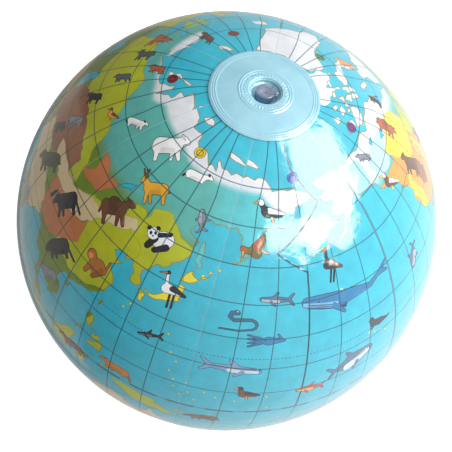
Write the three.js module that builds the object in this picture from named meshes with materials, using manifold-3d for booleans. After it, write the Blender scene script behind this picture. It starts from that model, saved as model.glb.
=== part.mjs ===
// An inflatable globe beach ball: six printed vinyl gores, a round patch over each pole, and in the
// north patch a push-in inflation valve with a stopper on a strap and a check flap inside.
// Millimetres, +Z up through the poles. The origin is the middle of the small flat that the ball
// rests on, straight below its centre.
import * as THREE from "three";
import * as BufferGeometryUtils from "three/addons/utils/BufferGeometryUtils.js";
import Module from "manifold-3d";

const wasm = await Module();
wasm.setup();

// ---- driving dimensions ----
const BALL_DIAMETER = 300;
const BALL_RADIUS = BALL_DIAMETER / 2;
const GORE_COUNT = 6;
const FILM = 0.5; // thickness of the vinyl film
const GAP = 0.3; // clear space kept between neighbouring pieces
const HEM_DEPTH = 5; // width of the welded hem that turns inward along a gore's edge
const PATCH_ARC = 36.2; // radius of a pole patch, measured over the ball's surface
const WELD_LAP = 7.4; // width of the patch that laps over the gores' ends
const REST_FLAT_RADIUS = 15; // the small flat that the south patch settles to

const VALVE_TURN = THREE.MathUtils.degToRad(30); // the strap's direction, seen from above
const WELL_RADIUS = 10.7; // inside of the rim round the sunken valve
const RIM_WALL = 0.8;
const RIM_HEIGHT = 0.5; // how far the rim stands above the ball's surface
const FLANGE_RADIUS = 17.2;
const FLANGE_THICKNESS = 0.8;
const BELLOWS_WALL = 0.6;
const BELLOWS_DEPTH = 8.4; // how far the soft wall dips when the valve is pushed in
const BELLOWS_TOP_DROP = 0.4; // its top edge, below the ball's surface
const BELLOWS_COLLAR = 1.6; // height of its straight top band
const BELLOWS_NECK = 1.2; // height of its straight foot round the stem
const STEM_RADIUS = 5;
const BORE_RADIUS = 4.1;
const STEM_LENGTH = 15.6;
const STEM_RECESS = 1.4; // how far the stem's mouth lies below the ball's surface
const EAR_THICKNESS = 1;
const EAR_DROP = 0.2; // the ear's top, below the stem's mouth
const EAR_SETBACK = 0.4; // from the ear's end to the strap's bending line
const PLUG_HEAD_RADIUS = 6.2;
const PLUG_HEAD_THICKNESS = 1.2;
const PLUG_BEVEL = 0.3;
const NIB_LENGTH = 4.5;
const NIB_TIP_RADIUS = 2.7;
const STRAP_WIDTH = 4.4;
const STRAP_THICKNESS = 0.8;
const STRAP_DROP = 0.1; // the strap's underside, below the stopper's
const STRAP_OVERHANG = 0.1; // of the strap, past its bending line
const HINGE_RADIUS = 8.4; // from the valve's axis to the strap's bending line
const FLAP_THICKNESS = 0.6;
const FLAP_LAP = 0.5; // how far the flap reaches past the bore
const FLAP_TAB_WIDTH = 2.8;

// ---- worked out from them ----
const PATCH_OUTER_RADIUS = BALL_RADIUS + GAP + FILM;
const PATCH_INNER_RADIUS = BALL_RADIUS + GAP;
const PATCH_ANGLE = PATCH_ARC / BALL_RADIUS;
const GORE_END_ANGLE = (PATCH_ARC - WELD_LAP) / BALL_RADIUS;
const HOLE_RADIUS = WELL_RADIUS + RIM_WALL + GAP;
const CENTRE_HEIGHT = Math.sqrt(PATCH_OUTER_RADIUS ** 2 - REST_FLAT_RADIUS ** 2);
const MOUTH_HEIGHT = BALL_RADIUS; // level of the well's mouth above the ball's centre
const STEM_TOP = MOUTH_HEIGHT - STEM_RECESS;
const STEM_BOTTOM = STEM_TOP - STEM_LENGTH;
const PLUG_UNDERSIDE = STEM_TOP + GAP;
const EAR_TOP = STEM_TOP - EAR_DROP;
const EAR_REACH = HINGE_RADIUS - EAR_SETBACK;

// steps of the faceted surfaces
const GORE_STEPS_AROUND = 7;
const GORE_STEPS_ALONG = 18;
const PATCH_STEPS_OUT = 3;
const PATCH_SIDES = 40;
const VALVE_SIDES = 24;
const FLAP_SIDES = 12; // on each half of the flap's round edge
const MERGE_DISTANCE = 1e-5; // vertices closer than this are one

// ---- materials ----
const printedVinyl = () => new THREE.MeshStandardMaterial({ color: 0x4cc5da, roughness: 0.22, metalness: 0 });
const patchVinyl = () => new THREE.MeshStandardMaterial({ color: 0xa0d7e8, roughness: 0.25, metalness: 0 });
const valveVinyl = () => new THREE.MeshStandardMaterial({ color: 0x9fc4d4, roughness: 0.3, metalness: 0 });

// ---- helpers ----

// Joins vertices that share a place, so that the surface is one closed sheet.
function weld(geometry) {
  const bare = geometry.index ? geometry.toNonIndexed() : geometry.clone();
  bare.deleteAttribute("normal");
  bare.deleteAttribute("uv");
  return BufferGeometryUtils.mergeVertices(bare, MERGE_DISTANCE);
}

// Turns every triangle over if the surface faces inward, and drops triangles with no area.
function faceOutward(geometry) {
  const position = geometry.getAttribute("position");
  const index = Array.from(geometry.index.array);
  const kept = [];
  const corner = [new THREE.Vector3(), new THREE.Vector3(), new THREE.Vector3()];
  let volume = 0;
  for (let i = 0; i < index.length; i += 3) {
    const triangle = index.slice(i, i + 3);
    if (new Set(triangle).size < 3) continue;
    triangle.forEach((vertex, k) => corner[k].fromBufferAttribute(position, vertex));
    volume += corner[0].dot(corner[1].clone().cross(corner[2])) / 6;
    kept.push(triangle);
  }
  const turned = volume < 0 ? kept.map(([a, b, c]) => [a, c, b]) : kept;
  geometry.setIndex(turned.flat());
  return geometry;
}

// A solid turned about the Z axis from a closed outline of [radius, height] points.
function turned(outline, sides) {
  const points = [...outline, outline[0]].map(([radius, height]) => new THREE.Vector2(radius, height));
  const lathe = new THREE.LatheGeometry(points, sides);
  lathe.rotateX(Math.PI / 2);
  return faceOutward(weld(lathe));
}

// A flat shape in the XY plane given a thickness, with its underside at the height z.
function plate(shape, thickness, z) {
  const options = { depth: thickness, bevelEnabled: false, curveSegments: FLAP_SIDES };
  const geometry = new THREE.ExtrudeGeometry(shape, options);
  geometry.translate(0, 0, z);
  return faceOutward(weld(geometry));
}

function toManifold(geometry) {
  const solid = faceOutward(weld(geometry));
  return new wasm.Manifold(new wasm.Mesh({
    numProp: 3,
    vertProperties: new Float32Array(solid.getAttribute("position").array),
    triVerts: new Uint32Array(solid.index.array),
  }));
}

function fromManifold(manifold) {
  const mesh = manifold.getMesh();
  const geometry = new THREE.BufferGeometry();
  geometry.setAttribute("position", new THREE.BufferAttribute(new Float32Array(mesh.vertProperties), 3));
  geometry.setIndex(Array.from(mesh.triVerts));
  return geometry;
}

// The height, above the ball's centre, of a sphere of this radius at a distance from the axis.
const sphereHeight = (sphereRadius, distance) => Math.sqrt(sphereRadius ** 2 - distance ** 2);

// Evenly spaced numbers from a to b, both included.
const spread = (a, b, steps) => Array.from({ length: steps + 1 }, (_, i) => a + ((b - a) * i) / steps);

// Points [radius, height] along a sphere between two angles from its north pole.
const sphereArc = (sphereRadius, from, to, steps) => spread(from, to, steps)
  .map((angle) => [sphereRadius * Math.sin(angle), sphereRadius * Math.cos(angle)]);

// ---- the gores ----

// One ring of a gore, at an angle down from the north pole: the outer skin from edge to edge, the
// foot of one hem, the inner skin back again, and the foot of the other hem.
function goreRing(polarAngle) {
  const halfWidth = Math.PI / GORE_COUNT;
  const place = (radius, angle) => new THREE.Vector3(
    radius * Math.sin(polarAngle) * Math.cos(angle),
    radius * Math.sin(polarAngle) * Math.sin(angle),
    radius * Math.cos(polarAngle),
  );
  const edge = (radius, setback) => halfWidth - Math.asin(setback / (radius * Math.sin(polarAngle)));
  const innerRadius = BALL_RADIUS - FILM;
  const hemRadius = BALL_RADIUS - HEM_DEPTH;
  const outerEdge = edge(BALL_RADIUS, GAP / 2);
  const innerEdge = edge(innerRadius, GAP / 2 + FILM);
  const hemOuter = edge(hemRadius, GAP / 2);
  const hemInner = edge(hemRadius, GAP / 2 + FILM);
  return [
    ...spread(-outerEdge, outerEdge, GORE_STEPS_AROUND).map((angle) => place(BALL_RADIUS, angle)),
    place(hemRadius, hemOuter),
    place(hemRadius, hemInner),
    ...spread(innerEdge, -innerEdge, GORE_STEPS_AROUND).map((angle) => place(innerRadius, angle)),
    place(hemRadius, -hemInner),
    place(hemRadius, -hemOuter),
  ];
}

// The quads that close one end of a gore: across the two skins, and across each hem.
function goreEndQuads() {
  const steps = GORE_STEPS_AROUND;
  const count = 2 * (steps + 1) + 4;
  const innerFacing = (i) => count - 3 - i;
  const quads = spread(0, steps - 1, steps - 1).map((i) => [i, i + 1, innerFacing(i + 1), innerFacing(i)]);
  quads.push([steps, steps + 1, steps + 2, steps + 3]);
  quads.push([count - 3, count - 2, count - 1, 0]);
  return quads;
}

function goreGeometry() {
  const rings = spread(GORE_END_ANGLE, Math.PI - GORE_END_ANGLE, GORE_STEPS_ALONG).map(goreRing);
  const count = rings[0].length;
  const index = [];
  const quad = (a, b, c, d) => index.push(a, b, c, a, c, d);
  for (let row = 0; row < GORE_STEPS_ALONG; row += 1) {
    for (let i = 0; i < count; i += 1) {
      const next = (i + 1) % count;
      quad(row * count + i, (row + 1) * count + i, (row + 1) * count + next, row * count + next);
    }
  }
  const last = GORE_STEPS_ALONG * count;
  for (const [a, b, c, d] of goreEndQuads()) {
    quad(a, b, c, d);
    quad(last + d, last + c, last + b, last + a);
  }
  const geometry = new THREE.BufferGeometry().setFromPoints(rings.flat());
  geometry.setIndex(index);
  return faceOutward(geometry);
}

// ---- the pole patches ----

// The north patch is a shallow dome with a round hole for the valve.
function northPatch() {
  const outerHole = Math.asin(HOLE_RADIUS / PATCH_OUTER_RADIUS);
  const innerHole = Math.asin(HOLE_RADIUS / PATCH_INNER_RADIUS);
  return turned([
    ...sphereArc(PATCH_OUTER_RADIUS, outerHole, PATCH_ANGLE, PATCH_STEPS_OUT),
    ...sphereArc(PATCH_INNER_RADIUS, PATCH_ANGLE, innerHole, PATCH_STEPS_OUT),
  ], PATCH_SIDES);
}

// The south patch is the same dome with no hole, pressed flat where the ball stands.
function southPatch() {
  const flatAngle = Math.asin(REST_FLAT_RADIUS / PATCH_OUTER_RADIUS);
  const down = ([radius, height]) => [radius, -height];
  return turned([
    [0, -CENTRE_HEIGHT],
    ...sphereArc(PATCH_OUTER_RADIUS, flatAngle, PATCH_ANGLE, PATCH_STEPS_OUT).map(down),
    ...sphereArc(PATCH_INNER_RADIUS, PATCH_ANGLE, flatAngle, PATCH_STEPS_OUT).map(down),
    [0, -PATCH_INNER_RADIUS * Math.cos(flatAngle)],
  ], PATCH_SIDES);
}

// ---- the valve ----

// A ring welded to the patch's underside, with a low rim that stands up through the hole.
function valveFlange() {
  const rimRadius = WELL_RADIUS + RIM_WALL;
  const topSphere = PATCH_INNER_RADIUS - GAP;
  const lowSphere = topSphere - FLANGE_THICKNESS;
  const rimTop = MOUTH_HEIGHT + RIM_HEIGHT;
  return turned([
    [WELL_RADIUS, sphereHeight(lowSphere, WELL_RADIUS)],
    [WELL_RADIUS, rimTop],
    [rimRadius, rimTop],
    [rimRadius, sphereHeight(topSphere, rimRadius)],
    [FLANGE_RADIUS, sphereHeight(topSphere, FLANGE_RADIUS)],
    [FLANGE_RADIUS, sphereHeight(lowSphere, FLANGE_RADIUS)],
  ], PATCH_SIDES);
}

// The soft wall from the rim down to the stem. It turns inside out when the stem is pulled up.
function valveBellows() {
  const outside = WELL_RADIUS - GAP;
  const inside = outside - BELLOWS_WALL;
  const neckInside = STEM_RADIUS + GAP;
  const neckOutside = neckInside + BELLOWS_WALL;
  const top = MOUTH_HEIGHT - BELLOWS_TOP_DROP;
  const shoulder = top - BELLOWS_COLLAR;
  const foot = top - BELLOWS_DEPTH;
  return turned([
    [outside, top],
    [outside, shoulder],
    [neckOutside, foot],
    [neckInside, foot],
    [neckInside, foot + BELLOWS_NECK],
    [inside, shoulder + BELLOWS_WALL],
    [inside, top],
  ], VALVE_SIDES);
}

// The stiff tube that the pump goes into, with an ear near its top that holds the strap.
function valveStem() {
  const tube = turned([
    [BORE_RADIUS, STEM_BOTTOM],
    [STEM_RADIUS, STEM_BOTTOM],
    [STEM_RADIUS, STEM_TOP],
    [BORE_RADIUS, STEM_TOP],
  ], VALVE_SIDES);
  const innerEnd = (STEM_RADIUS + BORE_RADIUS) / 2;
  const ear = new THREE.BoxGeometry(EAR_REACH - innerEnd, STRAP_WIDTH, EAR_THICKNESS);
  ear.translate((EAR_REACH + innerEnd) / 2, 0, EAR_TOP - EAR_THICKNESS / 2);
  const bore = new THREE.CylinderGeometry(BORE_RADIUS, BORE_RADIUS, STEM_LENGTH * 2, VALVE_SIDES);
  bore.rotateX(Math.PI / 2);
  bore.translate(0, 0, STEM_BOTTOM);
  const clearBore = toManifold(ear).subtract(toManifold(bore));
  return fromManifold(toManifold(tube).add(clearBore));
}

// The stopper: a flat head and a tapered nib that fills the mouth of the bore.
function valvePlug() {
  const nibTop = BORE_RADIUS - GAP;
  const headTop = PLUG_UNDERSIDE + PLUG_HEAD_THICKNESS;
  return turned([
    [0, PLUG_UNDERSIDE - NIB_LENGTH],
    [NIB_TIP_RADIUS, PLUG_UNDERSIDE - NIB_LENGTH],
    [nibTop, PLUG_UNDERSIDE],
    [PLUG_HEAD_RADIUS, PLUG_UNDERSIDE],
    [PLUG_HEAD_RADIUS, headTop - PLUG_BEVEL],
    [PLUG_HEAD_RADIUS - PLUG_BEVEL, headTop],
    [0, headTop],
  ], VALVE_SIDES);
}

// The short strap that ties the stopper to the stem's ear.
function plugStrap() {
  const half = STRAP_WIDTH / 2;
  const start = PLUG_HEAD_RADIUS + GAP;
  const end = HINGE_RADIUS + STRAP_OVERHANG;
  const strap = new THREE.Shape();
  strap.moveTo(start, -half);
  strap.lineTo(end, -half);
  strap.lineTo(end, half);
  strap.lineTo(start, half);
  strap.closePath();
  return plate(strap, STRAP_THICKNESS, PLUG_UNDERSIDE - STRAP_DROP);
}

// The flap that closes the bore from inside, with a tab out to the line that it bends on.
function checkFlap() {
  const discRadius = BORE_RADIUS + FLAP_LAP;
  const tabHalf = FLAP_TAB_WIDTH / 2;
  const tabAngle = Math.asin(tabHalf / discRadius);
  const flap = new THREE.Shape();
  flap.absarc(0, 0, discRadius, tabAngle, 2 * Math.PI - tabAngle, false);
  flap.lineTo(STEM_RADIUS, -tabHalf);
  flap.lineTo(STEM_RADIUS, tabHalf);
  flap.closePath();
  return plate(flap, FLAP_THICKNESS, STEM_BOTTOM - GAP - FLAP_THICKNESS);
}

// ---- the assembly ----

function named(name, geometry, material) {
  const mesh = new THREE.Mesh(geometry, material);
  mesh.name = name;
  return mesh;
}

const ball = new THREE.Group();
ball.position.z = CENTRE_HEIGHT;

for (let number = 1; number <= GORE_COUNT; number += 1) {
  const gore = named(`gore_${number}`, goreGeometry(), printedVinyl());
  gore.rotation.z = (number - 1) * ((2 * Math.PI) / GORE_COUNT);
  ball.add(gore);
}
ball.add(named("north_patch", northPatch(), patchVinyl()));
ball.add(named("south_patch", southPatch(), patchVinyl()));
ball.add(named("valve_flange", valveFlange(), valveVinyl()));

const valve = new THREE.Group();
valve.rotation.z = VALVE_TURN;
valve.add(named("valve_bellows", valveBellows(), valveVinyl()));
valve.add(named("valve_stem", valveStem(), valveVinyl()));
valve.add(named("valve_plug", valvePlug(), valveVinyl()));
valve.add(named("plug_strap", plugStrap(), valveVinyl()));
valve.add(named("check_flap", checkFlap(), valveVinyl()));
ball.add(valve);

const globe = new THREE.Group();
globe.add(ball);

export default globe;
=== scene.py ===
"""An inflatable globe beach ball: printed gores, pole patches and a push-in valve, in metres."""

import math

import bmesh
import bpy
import numpy as np
from mathutils import Matrix, Vector, noise
from mathutils.geometry import delaunay_2d_cdt


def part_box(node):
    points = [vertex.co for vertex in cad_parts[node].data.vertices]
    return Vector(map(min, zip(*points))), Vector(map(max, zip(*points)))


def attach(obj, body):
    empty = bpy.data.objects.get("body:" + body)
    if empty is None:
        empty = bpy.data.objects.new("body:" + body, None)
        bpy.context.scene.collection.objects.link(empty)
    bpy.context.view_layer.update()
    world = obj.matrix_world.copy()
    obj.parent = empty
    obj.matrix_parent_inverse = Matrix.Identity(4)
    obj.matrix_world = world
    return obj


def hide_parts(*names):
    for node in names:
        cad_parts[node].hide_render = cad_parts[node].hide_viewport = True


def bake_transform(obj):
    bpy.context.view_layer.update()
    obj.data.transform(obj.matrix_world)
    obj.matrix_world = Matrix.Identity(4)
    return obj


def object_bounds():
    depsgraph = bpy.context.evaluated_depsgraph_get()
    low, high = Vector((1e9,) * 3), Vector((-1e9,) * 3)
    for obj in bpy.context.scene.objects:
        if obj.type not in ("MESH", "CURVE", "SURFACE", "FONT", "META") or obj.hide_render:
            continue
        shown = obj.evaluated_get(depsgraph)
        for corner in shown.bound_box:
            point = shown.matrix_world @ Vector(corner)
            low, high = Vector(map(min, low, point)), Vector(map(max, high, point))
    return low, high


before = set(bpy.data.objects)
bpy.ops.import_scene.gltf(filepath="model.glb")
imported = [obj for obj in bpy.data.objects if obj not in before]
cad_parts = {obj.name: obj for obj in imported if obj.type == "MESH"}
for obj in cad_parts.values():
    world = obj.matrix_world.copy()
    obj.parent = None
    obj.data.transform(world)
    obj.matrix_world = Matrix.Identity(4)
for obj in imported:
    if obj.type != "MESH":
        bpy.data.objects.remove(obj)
CAD_LOW, CAD_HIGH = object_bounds()

MM = 0.001

# ---- the ball, from the frame ----
GORE_COUNT = 6
GORE_LOW, GORE_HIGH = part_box("gore_1")
RADIUS = (CAD_HIGH.y - CAD_LOW.y) / 2
CENTRE = Vector((0, 0, (GORE_LOW.z + GORE_HIGH.z) / 2))
PATCH_REACH = (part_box("north_patch")[1].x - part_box("north_patch")[0].x) / 2
PATCH_ANGLE = math.degrees(math.asin(PATCH_REACH / RADIUS))
GORE_END = math.degrees(math.acos((GORE_HIGH.z - CENTRE.z) / RADIUS))
GORE_SPAN = 180 - 2 * GORE_END
SEAM_SETBACK = 0.05 * MM  # from a gore's edge to the seam's middle
FILM = 0.4 * MM
HEM = 4 * MM  # how far a gore's welded edges turn inward
DEGREE = RADIUS * math.pi / 180  # one degree of arc over the ball's surface
MESH_STEP = 0.8  # spacing of a gore's plain mesh, degrees of arc
MESH_ROW = 0.87  # from one row of that mesh to the next, against its spacing

# ---- how the map lies on the ball ----
MERIDIAN_AT_X = 240  # east longitude that faces +X
EQUATOR_POLAR = 90.3  # polar angle of the printed equator
LATITUDE_SCALE = 0.9265  # degrees of arc for one printed degree of latitude
GRID_STEP = 10
TIP_SQUEEZE = 0.75  # how narrow the print is at a gore's tip, against its full width
SQUEEZE_FROM = 30  # polar angle where the print starts to narrow


# ---- small helpers ----

def sin_of(degrees):
    return math.sin(math.radians(degrees))


def cos_of(degrees):
    return math.cos(math.radians(degrees))


def clamp(value):
    return min(1, max(0, value))


def past(value, start, width):
    """0 up to a start, 1 from a width further on, and a straight ramp between them."""
    return clamp((value - start) / width)


def between(start, end, steps):
    """Evenly spaced values, both ends included."""
    return [start + (end - start) * k / steps for k in range(steps + 1)]


def neighbours(points, closed=True):
    """Each point with the next one and, if closed, the last point with the first."""
    return list(zip(points, points[1:] + (points[:1] if closed else [])))


def linear(value):
    """The straight brightness of a screen value; both run from 0 to 1."""
    return ((value + 0.055) / 1.055) ** 2.4 if value > 0.04 else value / 12.92


def rgb(red, green, blue):
    """A linear colour from the usual 0 to 255 values."""
    return tuple(linear(c / 255) for c in (red, green, blue))


def mix(first, second, share):
    return tuple(a + (b - a) * share for a, b in zip(first, second))


def shade(ink, factor):
    return tuple(min(1, c * factor) for c in ink)


# ---- inks ----
OCEAN = rgb(54, 184, 208)
TUNDRA = rgb(222, 226, 232)
TAIGA = rgb(92, 178, 170)
FAR_EAST = rgb(84, 196, 206)
FROST = rgb(178, 214, 234)
MIST = rgb(160, 216, 234)
OLIVE = rgb(182, 190, 36)
LEAF = rgb(112, 142, 44)
BEIGE = rgb(218, 198, 152)
ORANGE = rgb(196, 122, 74)
BROWN = rgb(150, 98, 60)
YELLOW = rgb(236, 220, 60)
AMBER = rgb(240, 156, 74)
COAST = rgb(136, 132, 58)
ICE = rgb(236, 240, 244)
DARK = rgb(28, 30, 34)
LINE = rgb(18, 62, 78)


# ---- print space: degrees of arc east of a gore's middle line, and north of the equator plane ----
COAST_STEP = 1  # degrees between the points of a drawn coast
COAST_WANDER = ((14, 1.1), (34, 0.7))  # waves on a ball of radius 1, and how far they move it, degrees
OTHER_PLACE = Vector((5, 5, 5))  # so that north and east wander on their own


def polar_of(latitude):
    return EQUATOR_POLAR - LATITUDE_SCALE * latitude


def squeeze_at(polar):
    """How much narrower the print is at a polar angle than its longitudes say."""
    near = min(polar, 180 - polar)
    return 1 - (1 - TIP_SQUEEZE) * clamp((SQUEEZE_FROM - near) / (SQUEEZE_FROM - PATCH_ANGLE))


def to_print(longitude, latitude, middle):
    polar = polar_of(latitude)
    east = (longitude - middle) * squeeze_at(polar)
    return east * sin_of(polar), -polar


def unit_at(azimuth, polar):
    """A direction from the ball's centre; both angles are in degrees."""
    return Vector((sin_of(polar) * cos_of(azimuth), sin_of(polar) * sin_of(azimuth), cos_of(polar)))


def dense(points, step, closed):
    """The same outline with no stretch longer than about a step, in degrees."""
    result = []
    for (lon_a, lat_a), (lon_b, lat_b) in neighbours(points, closed):
        shrink = max(0.1, cos_of((lat_a + lat_b) / 2))
        count = max(1, round(math.hypot((lon_b - lon_a) * shrink, lat_b - lat_a) / step))
        result += [(lon_a + (lon_b - lon_a) * k / count, lat_a + (lat_b - lat_a) * k / count)
                   for k in range(count)]
    return result if closed else result + [points[-1]]


def drift(place):
    return sum(noise.noise(place * waves) * reach for waves, reach in COAST_WANDER)


def wandering(outline, closed=True):
    """The outline in short steps, each moved a little, as a drawn coast wanders."""
    path = []
    for longitude, latitude in dense(outline, COAST_STEP, closed):
        spread = cos_of(latitude)
        place = Vector((spread * cos_of(longitude), spread * sin_of(longitude), sin_of(latitude)))
        east = drift(place) / max(0.2, spread)
        path.append((longitude + east, latitude + drift(place + OTHER_PLACE)))
    return path


# ---- coasts: (east longitude, north latitude) ----
ARCTIC_COAST = [
    (187, 67), (182, 68.8), (178, 70), (172, 70.2), (165, 69.9), (165, 71.3), (163.5, 72.6), (160, 72.3),
    (156, 72.2), (152, 71.8), (148, 72.2), (145, 71.6), (142, 72.4), (139, 72.3), (137, 73.5), (135, 72.8),
    (133, 71.2), (131, 71.9), (128, 71.5), (126, 72.8), (124.5, 74.5), (122, 74.5), (118, 73.6), (116, 73.3),
    (112.5, 74.3), (111, 76), (108, 76.8), (103, 76.6), (99, 76.2), (96, 77.3), (93, 78.8), (88, 79.2),
    (82, 79), (80, 76.8), (76.3, 76.3), (76, 72.5), (73.5, 71.5), (72.5, 68.5), (71, 70.2), (69, 72.8),
    (65.5, 73.2), (63, 69.2), (60, 68.7), (54, 68.5), (48, 67.5), (44, 66.5), (40, 64.8), (34, 66.5),
    (41, 66.5), (40, 67.8), (33, 69.4), (25, 71), (18, 69.5), (13, 65.5), (5.5, 62), (5.5, 59), (8, 58),
]
EUROPE_COAST = [
    (11, 59), (13, 55.8), (18, 60), (17, 61), (22, 65.7), (25, 65), (21.5, 61), (28, 60), (23, 59), (21, 56),
    (14, 54), (10.5, 54), (10, 57), (8, 56.5), (8.5, 54), (4, 52), (-1.5, 49.5), (-4.5, 48.3), (-1, 46),
    (-1.5, 43.5), (-9, 43.5), (-9, 37), (-5.5, 36), (-0.5, 38.5), (3, 42.5), (8, 44), (12.5, 41.5),
    (16, 38.5), (18, 40.3), (13, 44.5), (19, 42), (22.5, 37), (24, 40.5), (28, 41), (27, 37), (32, 36.3),
    (36, 36.5), (35, 32), (32.5, 30), (35, 28), (39, 21), (43, 13), (45, 13), (52, 17), (59, 22),
    (57, 24.3), (51, 25), (48, 30), (50, 30), (52, 27.7), (57, 26.8),
]
SOUTH_ASIA_COAST = [
    (61.5, 25.2), (66.5, 25), (69, 22.5), (70, 21), (72.5, 21), (73, 18.5), (74.5, 14), (76.5, 10),
    (78, 8.2), (80, 11), (80.2, 14), (81.5, 16.2), (84.5, 19), (87, 21.5), (90.5, 22), (92, 21.5),
    (94, 18.5), (94.5, 16), (97.5, 16.5), (98.5, 12), (98.3, 8.5), (99.8, 6.5), (101.5, 2.8), (103.8, 1.5),
    (103.5, 4), (100, 8), (99.5, 11), (100.8, 13.3), (102.5, 12), (104.8, 10.5), (105, 8.8), (107, 10.4),
    (109.3, 12.5), (108.5, 15.5), (106, 18), (106.5, 20), (108.5, 21.8),
]
EAST_ASIA_COAST = [
    (110.5, 21.5), (113.5, 22.5), (117, 23.8), (119.5, 25.5), (121.5, 28.5), (122, 30.5), (121, 32.5),
    (119.3, 35), (120.5, 36), (122.5, 37.3), (119, 37.6), (118, 38.9), (120.5, 40.6), (122, 40.7),
    (121.5, 39.2), (124.3, 40), (125, 38.8), (126.8, 37.3), (126.3, 35.3), (127.5, 34.5), (129.3, 35.5),
    (129, 37.5), (127.5, 39.5), (129.8, 41), (131, 42.8), (133.5, 43), (137, 45.5), (139.8, 48.5),
    (140, 51.5), (141, 53.3), (137, 53.8), (135.5, 54.5), (141, 59.5), (150, 58.5), (154.5, 59.5),
    (155.5, 57), (156.5, 51), (160, 53), (162, 56), (163.5, 59.5), (170, 60), (177, 62.5), (180, 65),
]
NORTH_AMERICA_NORTH = [
    (190, 70.3), (205, 70.8), (214, 69.8), (225, 69.5), (236, 69.3), (240, 69.3), (246, 67.8), (252, 68),
    (258, 67.5), (263, 67.8), (265, 66), (268, 64), (266, 61), (267.5, 58.5), (273, 56.5), (278, 55),
    (278, 51.5), (281, 52), (281.5, 55.5), (283, 58.5), (282, 62), (286, 62), (290, 60), (295, 58.5),
    (298, 55.5), (304, 52), (300, 50), (294, 49.5), (296, 46), (300, 45.5), (294, 44), (289, 42.5),
]
NORTH_AMERICA_SOUTH = [
    (286, 40), (284, 37), (284, 35), (279, 32), (280, 27), (279, 25.5), (277.5, 28), (275, 30), (265, 29.5),
    (262.5, 26), (262.5, 22), (265, 18.5), (269.5, 19.5), (270, 21.5), (273, 21.5), (271.5, 16),
    (276.5, 15), (276.5, 11), (279.5, 9.3), (282, 9), (277, 8), (270, 13.5), (264, 16), (260, 17),
    (254.5, 20.5), (251, 25), (247.5, 30.5), (245.5, 31), (250, 24), (248, 25.5), (243, 32.5), (240, 34.5),
    (236.5, 40), (236, 43), (236.5, 47), (234, 49.5), (230, 53.5), (226, 56.5), (222, 59.5), (218, 60.3),
    (213, 60.5), (209, 61.8), (207, 60.3), (204, 58.5), (193, 52.5), (198, 56), (200, 58.7), (195, 60),
    (194, 62.5), (198, 64.5), (192, 65.7), (197, 67), (193.5, 68.5),
]
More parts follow.
